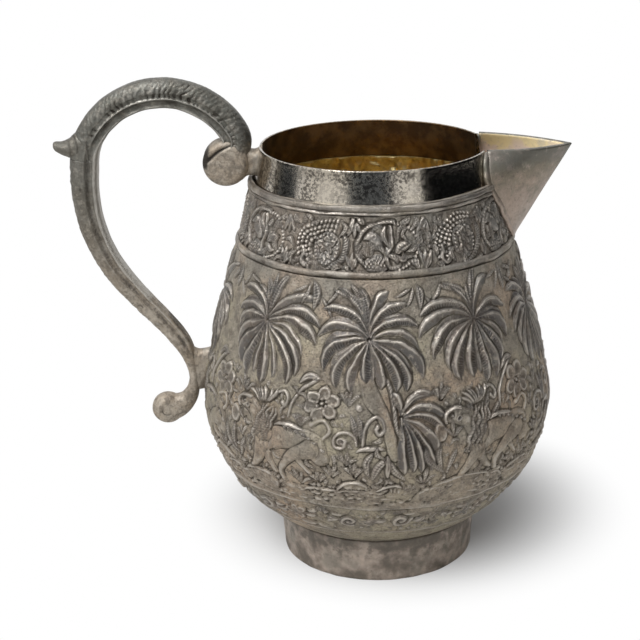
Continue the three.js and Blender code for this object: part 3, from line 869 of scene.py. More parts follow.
floor_rows = [  # rise over the ridge, count, width and height of the rocks
    (3.2, 17, 5.0, 2.9),
    (1.6, 19, 4.8, 2.3),
    (0.2, 22, 4.2, 1.7),
]
bare = 0.95  # finish of the ground over which nothing has been laid


def chase_belly(belly):
    """The bays, the palms over them, and then whatever there is room for."""
    for azimuth, _ in palm_spots[1::2]:
        trunk_bay(belly, azimuth + trunk_turn)
        agave(belly, azimuth + trunk_turn)
    for (azimuth, _), turn in zip(palm_spots[::2], beast_turns):
        beast_bay(belly, azimuth + turn)
    for k, spot in enumerate(palm_spots):
        palm(belly, spot, palm_shapes[k % len(palm_shapes)])
        for turn, level, (right, up), wide in gap_leaves:
            places = [(0, 0), (0.5 * right + 0.3, 0.5 * up), (right, up)]
            leaf(belly, (spot[0] + turn, level), places, wide, 0.46, ticks=leaf_ticks)
    undergrowth(belly, grove_low, grove_high, 1600)
    chase_floor(belly)
    chase_border(belly)


def chase_floor(belly):
    """Rows of rocks with tufts and folds between them, down to a ridge."""
    stones(belly, ridge_level, ridge_level + 4.4, 120)
    for rise, count, wide, tall in floor_rows:
        for k in range(count):
            azimuth = 360 * (k + vary(-0.3, 0.3)) / count
            level = ridge_level + rise + vary(-0.5, 0.5)
            mound(belly, (azimuth, level), wide * vary(0.6, 1.35), tall * vary(0.6, 1.2))
            beside_it = azimuth + vary(3, 8)
            if k % 2:
                tuft(belly, (beside_it, level + 0.6), 3, vary(1.6, 2.8))
            else:
                contour(belly, (beside_it, level - 0.4), vary(2.4, 5.0))
    stones(belly, ridge_level, ridge_level + 4.0, 420, size=0.5, tall=0.38)
    belly.clear_below(ridge_level)
    belly.ridge(ridge_level, 0.5, 0.46)


def chase_border(belly):
    """Flowers and curls among leaves, from the ridge down to a thin line."""
    stones(belly, border_foot + 0.8, ridge_level - 1.2, 70)
    for k in range(border_motifs):
        spot = (360 / border_motifs * k + vary(-4, 4), border_level + vary(-0.4, 0.4))
        if k % 3 == 0:
            rosette(belly, spot, 5, vary(1.8, 2.3), 0.46)
        else:
            curl = spiral((0, 0), vary(1.5, 2.1), vary(0, 360), rng.choice([-1.2, 1.2]), 9)
            vine(belly, spot, curl, 0.5, 0.58)
        for side in (-1, -1, 1, 1):
            tip = np.array([side * vary(1.8, 2.8), vary(-2.4, 2.4)])
            root = (spot[0] + side * vary(3.6, 5.6), spot[1] + vary(-0.8, 0.8))
            leaf(belly, root, [(0, 0), tip * [0.7, 0.3], tip], vary(0.5, 0.8), 0.52, matt=0.1)
    undergrowth(belly, border_foot + 0.9, ridge_level - 1.6, 300)
    belly.ridge(border_foot, 0.4, 0.3)


# Motifs of the medallion band

band_level = 70.7
medallion_count = 12
first_medallion = -116  # degrees round from +X
medallion_wide, medallion_tall = 6.1, 4.75
oval_middle = (1.7, -0.3)
wreath_ticks = (0.5, 1.0, 0, 1.2)
rim_ticks = (0.6, 0.7, 0.3, 0.8)
wing_ticks = (0.5, 0.6, 0, 0.9)
spray_reach = 2.9


def ring_line(wide, tall, start, end, steps=30, middle=(0, 0)):
    """An oval arc between two bearings, clockwise from straight up."""
    angle = np.radians(np.linspace(start, end, steps))
    return np.column_stack([middle[0] + wide * np.sin(angle), middle[1] + tall * np.cos(angle)])


def beaded(band, spot, line, pitch, radius, height):
    """A row of beads along a line."""
    for place in spaced(line, pitch):
        band.boss(spot, place, (radius, radius), height, domed, cut=0.08)


def scales(band, spot, middle, inner, outer, start, end):
    """Rows of overlapping scales over a crescent."""
    for reach in np.arange(inner, outer, 0.78):
        line = ring_line(reach * 1.12, reach, start, end, 40, middle)
        beaded(band, spot, line, 0.84, 0.36, 0.46)


def floret_medallion(band, azimuth):
    """A crescent of scales beside a beaded oval with a flower in it, a curl and half a wreath."""
    spot = (azimuth, band_level)
    scales(band, spot, (1.6, -0.6), 2.9, 5.4, -112, 20)
    band.boss(spot, oval_middle, (2.5, 3.1), 0.2, flat_topped, cut=0.25)
    beaded(band, spot, ring_line(2.1, 2.7, 0, 360, 40, oval_middle), 0.72, 0.26, 0.42)
    rosette(band, (azimuth + 3.9, band_level + 0.5), 5, 1.6, 0.45)
    for bearing in (-50, 0, 50):
        turn = math.radians(bearing)
        tip = (1.7 + 1.6 * math.sin(turn), -1.2 - 1.5 * math.cos(turn))
        band.stroke(spot, bezier([(1.7, -0.9), tip], 6), [0.2, 0.42, 0.4, 0.1], [0.3, 0.5, 0.45], ribbed)
    curl = np.vstack([[(-3.0, -0.6)], spiral((-2.2, -2.9), 1.3, 110, 0.9, 16)])
    band.stroke(spot, curl, [0.3, 0.5, 0.55, 0.45, 0.3], [0.4, 0.55, 0.5], domed, cut=0.2)
    wreath = ring_line(5.4, 4.3, 60, 160)
    wreath_half = [0.3, 0.6, 0.66, 0.6, 0.3]
    band.stroke(spot, wreath, wreath_half, [0.35, 0.45, 0.35], domed, cut=0.15, ticks=wreath_ticks)


def bird_medallion(band, azimuth):
    """A bird's head over a scaled breast, with a stem, leaves and a wing, in a rim that is half beads."""
    spot = (azimuth, band_level)
    rim = ring_line(medallion_wide, medallion_tall, 170, 370)
    band.stroke(spot, rim, [0.36, 0.42, 0.36], [0.5, 0.55, 0.5], domed, cut=0.2, ticks=rim_ticks)
    beaded(band, spot, ring_line(medallion_wide - 0.5, medallion_tall - 0.3, 12, 168), 0.72, 0.33, 0.5)
    band.boss(spot, (-2.3, -3.1), (2.6, 1.5), 0.22, domed, cut=0.2)
    for row in range(3):
        arc = ring_line(2.2 - 0.7 * row, 1.2 - 0.4 * row, -90, 90, 20, (-2.3, -3.4))
        beaded(band, spot, arc, 0.62, 0.27, 0.42)
    stem = through([(0.2, -3.9), (-0.3, -1.6), (0.5, 0.8), (0.1, 3.9)], 8)
    band.stroke(spot, stem, [0.3, 0.42, 0.5, 0.42, 0.3], [0.45, 0.6, 0.6, 0.5], sickled, side=-1, cut=0.2)
    high_blade = through([(0.2, 0.2), (-1.0, 2.0), (-0.8, 3.7)], 8)
    band.stroke(spot, high_blade, [0.3, 0.55, 0.5, 0.2], [0.4, 0.55, 0.5], ribbed, cut=0.18)
    head = through([(-1.2, -0.6), (-2.4, 0.9), (-3.2, 1.9), (-4.7, 1.5)], 8)
    band.stroke(spot, head, [0.6, 1.2, 1.35, 0.9, 0.2], [0.45, 0.6, 0.62, 0.5, 0.4], domed, cut=0.2)
    band.boss(spot, (-2.7, 2.1), (0.5, 0.5), 0.7, hollowed, cut=0.15)
    band.boss(spot, (-2.7, 2.1), (0.2, 0.2), 0.75, domed, cut=0.1)
    wing = through([(1.4, -1.0), (2.6, 0.2), (4.2, 0.5)], 8)
    wing_half = [0.3, 0.95, 1.05, 0.7, 0.15]
    band.stroke(spot, wing, wing_half, [0.4, 0.6, 0.6, 0.4], ribbed, cut=0.22, ticks=wing_ticks)
    low_blade = through([(1.2, -1.4), (2.4, -2.4), (3.6, -2.2)], 6)
    band.stroke(spot, low_blade, [0.3, 0.6, 0.5, 0.1], [0.4, 0.5, 0.4], ribbed, cut=0.18)


def chase_band(band):
    """The two medallions in turn, with sprays of leaves between them, and small leaves on what is bare."""
    pitch = 360 / medallion_count
    for k in range(medallion_count):
        azimuth = first_medallion + pitch * k
        medallion = bird_medallion if k % 2 else floret_medallion
        medallion(band, azimuth)
        for level, bearing in ((band_top - 0.9, 180), (band_bottom + 1.6, 0)):
            for lean in (-24, 0, 24):
                line = bezier([(0, 0), bearing_line(bearing + lean, spray_reach)], 6)
                half, height = [0.3, 0.5, 0.4, 0.1], [0.35, 0.5, 0.45, 0.3]
                band.stroke((azimuth + pitch / 2, level), line, half, height, ribbed, cut=0.18)
    strew(band, band_bottom + 1.2, band_top - 0.7, 5200, 0.4, 1.35)


# Finishes

class Value:
    """A shader socket that takes part in sums. Each sign adds a Math node."""

    def __init__(self, nodes, socket):
        self.nodes = nodes
        self.socket = socket

    def math(self, operation, first, second):
        return self.nodes.node("ShaderNodeMath", {"operation": operation}, {0: first, 1: second})

    def __add__(self, other):
        return self.math("ADD", self, other)

    def __sub__(self, other):
        return self.math("SUBTRACT", self, other)

    def __rsub__(self, other):
        return self.math("SUBTRACT", other, self)

    def __mul__(self, other):
        return self.math("MULTIPLY", self, other)

    __radd__ = __add__
    __rmul__ = __mul__

    def sine(self):
        return self.nodes.node("ShaderNodeMath", {"operation": "SINE"}, {0: self})

    def between(self, low, high):
        """0 at low and 1 at high, with soft ends."""
        settings = {"interpolation_type": "SMOOTHSTEP"}
        return self.nodes.node("ShaderNodeMapRange", settings, {0: self, 1: low, 2: high})


class Nodes:
    """A tree of shader nodes that grows by one call for each node."""

    def __init__(self, owner):
        owner.use_nodes = True
        self.tree = owner.node_tree

    def node(self, kind, settings, sockets, output=0):
        """Adds a node: its settings first, then its sockets, by name or number, and one of its outputs."""
        node = self.tree.nodes.new(kind)
        for name, value in settings.items():
            setattr(node, name, value)
        for name, value in sockets.items():
            self.feed(node.inputs[name], value)
        return Value(self, node.outputs[output])

    def feed(self, socket, value):
        """Links a value to a socket, or sets the socket."""
        if isinstance(value, Value):
            self.tree.links.new(value.socket, socket)
        else:
            socket.default_value = value

    def surface(self, shader):
        """Sends a shader to the tree's output."""
        output = next(node for node in self.tree.nodes if node.bl_idname.startswith("ShaderNodeOutput"))
        self.feed(output.inputs["Surface"], shader)


class Finish(Nodes):
    """A material of the jug."""

    def __init__(self, name):
        self.material = bpy.data.materials.new(name)
        super().__init__(self.material)
        self.shader = self.tree.nodes["Principled BSDF"]
        self.place = self.node("ShaderNodeTexCoord", {}, {}, "Object")

    def set(self, **values):
        """Links or sets the shader's sockets."""
        for name, value in values.items():
            self.feed(self.shader.inputs[name.replace("_", " ").title()], value)

    def number(self, name):
        """A number that the mesh carries on its points."""
        return self.node("ShaderNodeAttribute", {"attribute_name": name}, {}, "Fac")

    def noise(self, size, detail, rough=0.55):
        """Cloudy noise with features of a size in millimetres."""
        sockets = {"Vector": self.place, "Scale": MM / size, "Detail": detail, "Roughness": rough}
        return self.node("ShaderNodeTexNoise", {}, sockets)

    def level(self):
        """Millimetres up from the foot."""
        return self.node("ShaderNodeSeparateXYZ", {}, {"Vector": self.place}, "Z") * MM

    def cells(self, size):
        """Distance to the middle of small cells of a size in millimetres."""
        return self.node("ShaderNodeTexVoronoi", {}, {"Vector": self.place, "Scale": MM / size})

    def mix(self, share, first, second):
        """A colour between two."""
        sockets = {0: share, 6: first, 7: second}
        return self.node("ShaderNodeMix", {"data_type": "RGBA"}, sockets, 2)

    def layers(self, colour, *layers):
        """A colour with others laid over it, each by its own share."""
        for share, over in layers:
            colour = self.mix(share, colour, over)
        return colour

    def bump(self, height, distance):
        """A bump of a height in millimetres."""
        return self.node("ShaderNodeBump", {}, {"Height": height, "Distance": distance / MM})


def rgb(red, green, blue):
    """An opaque colour."""
    return (red, green, blue, 1.0)


def chased_silver():
    """Tarnished silver: a pale matt ground, smoother dark forms with painted shade down their slopes,
    crests rubbed bright with a painted highlight, and black cuts.
    """
    silver = Finish("chased_silver")
    crest = silver.number("crest")
    matt = silver.number("matt")
    drift = silver.noise(26.0, 2.0).between(0.42, 0.6)
    cloud = silver.noise(9.0, 4.0).between(0.4, 0.62)
    bloom = silver.noise(4.0, 4.0).between(0.42, 0.66)
    smoke = silver.noise(3.2, 4.0, 0.6).between(0.46, 0.64)
    dark_patches = silver.noise(2.0, 5.0, 0.68).between(0.5, 0.66)
    chalk = silver.noise(1.3, 5.0, 0.7).between(0.52, 0.68)
    speck = silver.noise(0.8, 4.0, 0.65)
    grain = silver.noise(0.32, 2.0, 0.6)
    stipple = silver.cells(0.62).between(0.08, 0.4)
    nick = grain.between(0.5, 0.72)
    level = silver.level() + 5 * (bloom - 0.5)
    # painted light: a band low on the belly, over the rocks of the grove's floor, is made lighter and
    # warmer
    low = level.between(34.0, 26.0) * level.between(18.0, 24.0)
    high = silver.level().between(56.0, 62.0)
    # worn: crests rubbed bright by wear, with a painted highlight along them
    worn = (crest + 0.2 * (speck - 0.5)).between(0.05, 0.22)
    sunk = (0.14 * (speck - 0.5) - crest).between(0.05, 0.22)
    wave = (silver.number("tick_place") * (2 * math.pi)).sine()
    cut = wave.between(0.0, 0.9) * silver.number("tick_depth")
    tan = silver.mix(drift, rgb(0.45, 0.35, 0.258), rgb(0.39, 0.35, 0.262))
    ground = silver.mix(cloud, tan, rgb(0.306, 0.275, 0.222))
    form = silver.layers(
        silver.mix(cloud, rgb(0.214, 0.19, 0.163), rgb(0.265, 0.247, 0.223)),
        (bloom * 0.5, rgb(0.29, 0.225, 0.19)),
        # tone: random tarnish of each form, with painted shade down its slopes
        (silver.number("tone") * 0.6, rgb(0.098, 0.094, 0.094)),
    )
    colour = silver.layers(
        silver.mix(matt, form, ground),
        (low * 0.36, rgb(0.46, 0.385, 0.3)),
        (high * 0.3, rgb(0.268, 0.264, 0.25)),
        (smoke * 0.48, rgb(0.12, 0.104, 0.09)),
        (dark_patches * 0.55, rgb(0.14, 0.112, 0.086)),
        (chalk * 0.5, rgb(0.51, 0.455, 0.378)),
        ((1 - stipple) * matt * 0.45, rgb(0.12, 0.1, 0.08)),
        (nick * 0.4, rgb(0.1, 0.086, 0.07)),
        (worn * 0.7, rgb(0.53, 0.485, 0.43)),
        (sunk * 0.8, rgb(0.06, 0.051, 0.041)),
        (cut * 0.7, rgb(0.05, 0.043, 0.038)),
    )
    height = 1.5 * speck + 0.6 * grain + 0.5 * stipple * matt - nick * (0.4 + 0.5 * matt) - cut
    silver.set(
        base_color=colour,
        metallic=0.94 - 0.42 * matt,
        roughness=0.36 + 0.26 * matt - 0.06 * worn + 0.14 * sunk + 0.24 * (speck - 0.5),
        normal=silver.bump(height, 0.15),
    )
    return silver.material


def burnished_silver():
    """Bright sheet, crackled with dark specks and pits, with rubbing marks and a thin brown bloom."""
    silver = Finish("burnished_silver")
    bloom = silver.noise(6.0, 4.0).between(0.3, 0.7)
    pits = silver.cells(0.5).between(0.0, 0.28)
    fine = silver.noise(0.35, 3.0, 0.6)
    patch = silver.noise(5.0, 5.0, 0.62).between(0.38, 0.54)
    speck = silver.noise(0.6, 5.0, 0.72).between(0.44, 0.56)
    colour = silver.layers(
        silver.mix(bloom, rgb(0.455, 0.417, 0.362), rgb(0.545, 0.494, 0.412)),
        (speck * (0.34 + 0.62 * patch), rgb(0.11, 0.097, 0.082)),
        ((1 - pits) * patch, rgb(0.07, 0.06, 0.05)),
    )
    silver.set(
        base_color=colour,
        metallic=1.0,
        roughness=0.07 + 0.07 * patch * fine + 0.03 * bloom,
        normal=silver.bump(0.5 * fine - 0.6 * speck, 0.006),
    )
    return silver.material


def dull_sheet():
    """Plain sheet of the spout: olive grey above and pink below, dull, with blooms and a few dark pits."""
    silver = Finish("dull_sheet")
    bloom = silver.noise(3.2, 5.0, 0.6)
    olive = silver.noise(4.6, 4.0, 0.6).between(0.5, 0.66)
    speck = silver.noise(0.5, 4.0, 0.65)
    mottle = silver.noise(1.4, 5.0, 0.7)
    lower = (silver.level() + 14 * (bloom - 0.5)).between(rim_height - 2, rim_height - 12)
    shade = (silver.level() + 6 * (bloom - 0.5)).between(rim_height - 5, rim_height - 2)
    colour = silver.layers(
        silver.mix(lower, rgb(0.19, 0.172, 0.126), rgb(0.365, 0.292, 0.245)),
        (bloom.between(0.5, 0.64) * 0.6, rgb(0.42, 0.325, 0.265)),
        (shade * 0.6, rgb(0.15, 0.155, 0.15)),
        (olive * 0.55, rgb(0.215, 0.208, 0.16)),
        (mottle.between(0.5, 0.62) * 0.4, rgb(0.17, 0.15, 0.125)),
        (mottle.between(0.46, 0.34) * 0.35, rgb(0.5, 0.42, 0.36)),
        (speck.between(0.54, 0.72) * 0.6, rgb(0.13, 0.112, 0.092)),
    )
    silver.set(
        base_color=colour,
        metallic=0.65,
        roughness=0.38 + 0.2 * (speck - 0.5) + 0.1 * olive,
        normal=silver.bump(speck, 0.05),
    )
    return silver.material


def cast_silver():
    """Cast silver: dark olive where it is chased and where shade is painted, tan where it was soldered,
    rubbed bright on its raised lines with a painted highlight there.
    """
    silver = Finish("cast_silver")
    crest = silver.number("crest")
    tan = silver.number("tan")
    cloud = silver.noise(5.0, 4.0).between(0.35, 0.65)
    blotch = silver.noise(1.6, 5.0, 0.68).between(0.44, 0.64)
    chalk = silver.noise(1.1, 5.0, 0.7).between(0.48, 0.66)
    speck = silver.noise(0.5, 4.0, 0.6)
    # worn: raised lines rubbed bright by wear, with a painted highlight along them
    worn = (crest + 0.16 * (speck - 0.5)).between(0.06, 0.28)
    # sunk: dark in the chased lines, and painted shade where the handle's shade lowers the crest
    sunk = (0.06 * (speck - 0.5) - crest).between(0.03, 0.18)
    dark = silver.mix(cloud, rgb(0.113, 0.113, 0.099), rgb(0.17, 0.169, 0.153))
    warm = silver.mix(cloud, rgb(0.375, 0.31, 0.24), rgb(0.47, 0.415, 0.345))
    colour = silver.layers(
        silver.mix(tan, dark, warm),
        (blotch * (0.3 + 0.36 * tan), rgb(0.1, 0.085, 0.067)),
        (chalk * (0.25 + 0.25 * tan), rgb(0.5, 0.45, 0.385)),
        (speck.between(0.46, 0.66) * 0.4, rgb(0.11, 0.096, 0.08)),
        (worn * 0.78, rgb(0.485, 0.467, 0.428)),
        (sunk, rgb(0.045, 0.039, 0.033)),
    )
    silver.set(
        base_color=colour,
        metallic=0.9 - 0.4 * tan,
        roughness=0.5 + 0.1 * tan - 0.06 * worn + 0.12 * sunk + 0.24 * (speck - 0.5),
        normal=silver.bump(speck + 0.8 * blotch, 0.08),
    )
    return silver.material


def plain_silver():
    """Plain tarnished sheet of the foot, mottled pink and brown with dull rubbed patches, and a painted
    shadow along its top under the bowl.
    """
    silver = Finish("plain_silver")
    cloud = silver.noise(5.2, 4.0, 0.54).between(0.34, 0.64)
    drift = silver.noise(2.2, 4.0, 0.58).between(0.4, 0.7)
    moss = silver.noise(5.4, 3.0, 0.55).between(0.46, 0.66)
    speck = silver.noise(0.5, 4.0, 0.6)
    # painted shadow: darker towards the top of the foot, where the bowl hangs over it
    painted_shadow_under_lip = (silver.level() + 4 * (drift - 0.5)).between(4.2, 8.4)
    colour = silver.layers(
        silver.mix(cloud, rgb(0.17, 0.145, 0.12), rgb(0.6, 0.5, 0.43)),
        (drift * 0.55, rgb(0.22, 0.185, 0.15)),
        (moss * 0.6, rgb(0.16, 0.16, 0.132)),
        (painted_shadow_under_lip * 0.72, rgb(0.13, 0.115, 0.096)),
        (speck.between(0.56, 0.74) * 0.4, rgb(0.11, 0.094, 0.078)),
    )
    silver.set(
        base_color=colour,
        metallic=0.25,
        roughness=0.5 + 0.2 * (speck - 0.5) - 0.08 * cloud,
        normal=silver.bump(speck + drift, 0.07),
    )
    return silver.material


def gilding(name, dark, light, dark_patches):
    """Worn gilding over silver, brown with age, with dark patches of painted shade that stand in for the
    lumps pressed out by the chasing, and thin in places.
    """
    gilt = Finish(name)
    cloud = gilt.noise(4.0, 5.0, 0.62).between(0.4, 0.64)
    patch = gilt.noise(2.4, 3.0, 0.5).between(0.5, 0.6)
    speck = gilt.noise(0.6, 4.0, 0.6)
    colour = gilt.layers(
        gilt.mix(cloud, dark, light),
        # painted shade: dark patches, by so much, where lumps of the lining would be in shade
        (patch * dark_patches, rgb(0.2, 0.12, 0.045)),
        (speck.between(0.58, 0.76) * 0.6, rgb(0.16, 0.1, 0.045)),
    )
    gilt.set(base_color=colour, metallic=1.0, roughness=0.3 + 0.18 * speck, normal=gilt.bump(speck, 0.06))
    return gilt.material


def rubbed_gilding():
    """What is left of the gilding in the spout: gold along the edge, and pink and grey below."""
    gilt = Finish("rubbed_gilding")
    cloud = gilt.noise(8.0, 4.0, 0.6).between(0.42, 0.6)
    rubbed = gilt.noise(3.0, 5.0, 0.62).between(0.46, 0.62)
    speck = gilt.noise(0.6, 4.0, 0.65)
    edge = (gilt.level() + 6 * (cloud - 0.5)).between(rim_height - 7, rim_height - 1.5)
    colour = gilt.layers(
        gilt.mix(edge, rgb(0.74, 0.6, 0.53), rgb(0.84, 0.7, 0.4)),
        (rubbed * 0.6, rgb(0.54, 0.49, 0.4)),
        (speck.between(0.56, 0.74) * 0.45, rgb(0.2, 0.155, 0.1)),
    )
    gilt.set(
        base_color=colour,
        metallic=0.2,
        roughness=0.46 + 0.2 * (speck - 0.5),
        normal=gilt.bump(speck, 0.05),
    )
    return gilt.material


# Outlines of the body

def bowl_curves():
    """The outside of the bowl from the middle of its base to the shoulder, as [radius, height] points."""
    lower = bezier([
        (0, bowl_base),
        (base_flat, bowl_base),
        (belly_radius, belly_level - belly_turn_down),
        (belly_radius, belly_level),
    ], 400)
    upper = bezier([
        (belly_radius, belly_level),
        (belly_radius, belly_level + belly_turn_up),
        (shoulder_radius + shoulder_lean * shoulder_run, bowl_top - shoulder_run),
        (shoulder_radius, bowl_top),
    ], 400)
    return np.vstack([lower, upper[1:]])


def outward(outline):
    """Unit directions square to an outline, to its outside."""
    along = np.gradient(outline, axis=0)
    along /= np.hypot(*along.T)[:, None]
    return np.column_stack([along[:, 1], -along[:, 0]])


def band_radius(level):
    """The outside of the band at each level."""
    return lerp(band_bottom_radius, band_top_radius, (level - band_bottom) / (band_top - band_bottom))


def collar_radius(level):
    """The outside of the collar at each level, with its slight waist."""
    share = (level - collar_bottom) / (rim_height - collar_bottom)
    return lerp(collar_bottom_radius, rim_radius, share) - collar_waist * 4 * share * (1 - share)


# Body pieces

def belly_bowl(chased, gilt):
    """The bowl: a chased side over a plain base, and a smooth gilt lining."""
    whole = bowl_curves()
    edge = np.flatnonzero(whole[:, 1] > border_foot - base_margin)[0]
    base = spaced(whole[:edge + 1], base_pitch)[1:-1]
    side = spaced(whole[edge:], belly_pitch)
    belly = Chasing(side, belly_columns, belly_ground)
    chase_belly(belly)
    belly.hammer(belly_hammering)
    fade = belly.fade(1.2, 0.5)
    worn_down = smooth(ridge_level + 5, ridge_level + 1, belly.level)[:, None]
    belly.height = lerp(belly.height, softened(belly.height, 0.75, 0.75), worn_down)
    height = belly_relief * softened(belly.height, 0.45, 0.45) * fade
    out = outward(side)
    radius = side[:, :1] + out[:, :1] * height
    level = side[:, 1:] + out[:, 1:] * height
    sheet = Sheet()
    skin = sheet.place(
        carried_round(radius, belly.azimuth, level),
        crest=belly.crest(3.2, 3.2),
        matt=lerp(1, belly.matt, fade),
        tone=form_tarnish_and_shade * belly.tone,
        tick_place=belly.tick_place,
        tick_depth=belly.tick_depth,
    )
    under_side = turned(base, belly.azimuth)
    under = sheet.place(under_side, matt=np.ones(under_side.shape[:2]))
    sheet.join(skin, (0, 0.2, 1, 0.8), True)
    sheet.join(np.vstack([under, skin[:1]]), (0, 0.1, 1, 0.2), True)
    sheet.fan(under[0][::-1], (0, 0, 0.1, 0.1))
    inside = spaced(whole, lining_pitch)
    inside = (inside - body_wall * outward(inside))[1:]
    inside[-1, 1] = bowl_top
    lining = sheet.place(turned(inside[::-1], all_round(belly_columns // lining_share)))
    sheet.stitch(skin[-1], lining[0], (0, 0.8, 1, 0.82))
    sheet.join(lining, (0, 0.82, 1, 1), True, 1)
    sheet.fan(lining[-1][::-1], (0.1, 0, 0.2, 0.1), 1)
    return sheet.piece("belly_skin", [chased, gilt], "tarnished_silver", "belly_bowl")


def pour_cut(azimuth):
    """How high the band's edge stays at each azimuth, with the notch under the spout."""
    across = np.abs(band_top_radius * np.sin(np.radians(azimuth)))
    facing = np.cos(np.radians(azimuth)) > 0
    notch = band_top - pour_notch * (1 - across / (pour_slot / 2))
    return np.where(facing & (across < pour_slot / 2), notch, band_top)


def frieze_band(chased, gilt):
    """The band of medallions, whose forms show through in its gilt lining."""
    levels = np.linspace(band_bottom, band_top, band_rows)
    band = Chasing(np.column_stack([band_radius(levels), levels]), band_columns, band_ground)
    chase_band(band)
    band.hammer(band_hammering)
    fade = band.fade(0.8, 0.6)
    height = band_relief * softened(band.height, 0.5, 0.5) * fade
    share = ((levels - band_bottom) / (band_top - band_bottom))[:, None]
    level = band_bottom + share * (pour_cut(band.azimuth) - band_bottom)
    sheet = Sheet()
    skin = sheet.place(
        carried_round(band_radius(level) + height, band.azimuth, level),
        crest=0.75 * band.crest(4.0, 4.6) - 0.03 * band.matt,
        matt=0.55 * lerp(1, band.matt, fade),
        tone=band.tone,
        tick_place=band.tick_place,
        tick_depth=band.tick_depth,
    )
    sheet.join(skin, (0, 0.1, 1, 0.8), True)
    coarse = slice(None, None, lining_share)
    inner_rows = np.linspace(band_rows - 1, 0, band_lining_rows).astype(int)
    inner_level = level[inner_rows][:, coarse]
    back = softened(band.height, 2.2, 2.2)[inner_rows][:, coarse]
    pressed = lining_rise * np.tanh(2.6 * (back - band_ground) / lining_rise)
    inner_radius = band_radius(inner_level) - band_wall + pressed * fade[inner_rows]
    lining = sheet.place(carried_round(inner_radius, band.azimuth[coarse], inner_level))
    sheet.stitch(skin[-1], lining[0], (0, 0.8, 1, 0.84))
    sheet.join(lining, (0, 0.84, 1, 0.98), True, 1)
    sheet.stitch(skin[0][::-1], np.roll(lining[-1][::-1], -1), (0, 0, 1, 0.06))
    return sheet.piece("medallion_band", [chased, gilt], "tarnished_silver", "frieze_band")


def collar_band(bright, gilt):
    """The plain collar, open behind the spout, with a thin rounded edge at the mouth."""
    levels = np.linspace(collar_bottom, rim_height, collar_rows)
    wall = lerp(band_wall, rim_wall, smooth(collar_bottom + 2, rim_height, levels))
    outer_radius = collar_radius(levels)
    rounded = levels - lip_round * (levels == levels[-1])
    outside = np.column_stack([outer_radius, rounded])
    inside = np.column_stack([outer_radius - wall, rounded])[::-1]
    lip_out, lip_in = outside[-1, 0], inside[0, 0]
    edge = bezier([outside[-1], (lip_out, rim_height), (lip_in, rim_height), inside[0]], 8)
    outline = np.vstack([outside[:-1], edge, inside[1:]])
    share = np.linspace(0, 1, collar_columns)
    start = np.degrees(np.arcsin(pour_slot / 2 / outline[:, :1]))
    angle = np.radians(lerp(start, 360 - start, share[None, :]))
    wobble = softened(0.06 * hammered((len(outline), collar_columns), 6, 18), 10, 2)
    radius = outline[:, :1] + wobble
    x, y = radius * np.cos(angle), radius * np.sin(angle)
    raked = smooth(collar_bottom, rim_height, outline[:, 1:])
    level = outline[:, 1:] - mouth_rake * (x + rim_radius) * raked
    sheet = Sheet()
    grid = sheet.place(np.stack([x, y, level], axis=-1))
    lip = len(outside) + 5
    sheet.join(grid[:lip + 1], (0, 0, 1, 0.45))
    sheet.join(grid[lip:], (0, 0.5, 1, 0.9), False, 1)
    sheet.join(np.vstack([grid[-1], grid[0]]), (0, 0.45, 1, 0.48))
    sheet.fan(grid[:, 0][::-1], (0, 0.9, 0.1, 1))
    sheet.fan(grid[:, -1], (0.1, 0.9, 0.2, 1))
    return sheet.piece("collar", [bright, gilt], "burnished_silver", "collar_band")


def ring_piece(name, outline, finish, slot, node, dents, shine=0.0, matt=0.0, sway=0.0, gap=0.0):
    """A ring turned from a closed outline, with small dents, and a painted highlight by so much shine on
    its outward bends. A gap in degrees leaves it open at +X.
    """
    azimuth = np.linspace(gap, 360 - gap, ring_columns) if gap else all_round(ring_columns)
    dent = softened(dents * hammered((len(outline), ring_columns), 3, 5), 0.6, 1)
    points = turned(outline, azimuth)
    out = outward(np.vstack([outline[-1:], outline, outline[:1]]))[1:-1]
    angle = np.radians(azimuth)
    points[..., 0] += out[:, :1] * dent * np.cos(angle)
    points[..., 1] += out[:, :1] * dent * np.sin(angle)
    points[..., 2] += out[:, 1:] * dent + sway * hammered((1, ring_columns), 0.01, 9)
    bend = outline - (np.roll(outline, 4, axis=0) + np.roll(outline, -4, axis=0)) / 2
    # painted highlight: shine lifts the crest, and so the colour, where the outline bends outward
    crest = shine * (bend * out).sum(axis=1)[:, None] + dent + 0.05 * hammered(dent.shape, 1.5, 5)
    rough = np.clip(matt + 0.2 * hammered(dent.shape, 2, 9), 0, 1)
    sheet = Sheet()
    grid = sheet.place(points, crest=crest, matt=rough, tone=np.full(dent.shape, 0.5))
    sheet.join(np.vstack([grid, grid[:1]]), (0, 0, 1, 0.9), not gap)
    if gap:
        sheet.fan(grid[:, 0][::-1], (0, 0.9, 0.1, 1))
        sheet.fan(grid[:, -1], (0.1, 0.9, 0.2, 1))
    return sheet.piece(name, [finish], slot, node)


def shoulder_wire(finish):
    """A half-round wire with its flat side to the body."""
    radius = (shoulder_high[2] - shoulder_low[2]) / 2
    middle = (shoulder_high[2] + shoulder_low[2]) / 2
    wall = shoulder_high[1] - radius - wire_sink
    arc = np.radians(np.linspace(-90, 90, 15))
    round_side = np.column_stack([wall + radius * np.cos(arc), middle + radius * np.sin(arc)])
    flat_side = np.column_stack([np.full(5, wall), np.linspace(middle + radius, middle - radius, 7)[1:-1]])
    outline = np.vstack([round_side, flat_side])
    return ring_piece(
        "shoulder_bead", outline, finish, "tarnished_silver", "shoulder_wire",
        dents=0.06, shine=0.14, matt=0.5, sway=0.05,
    )


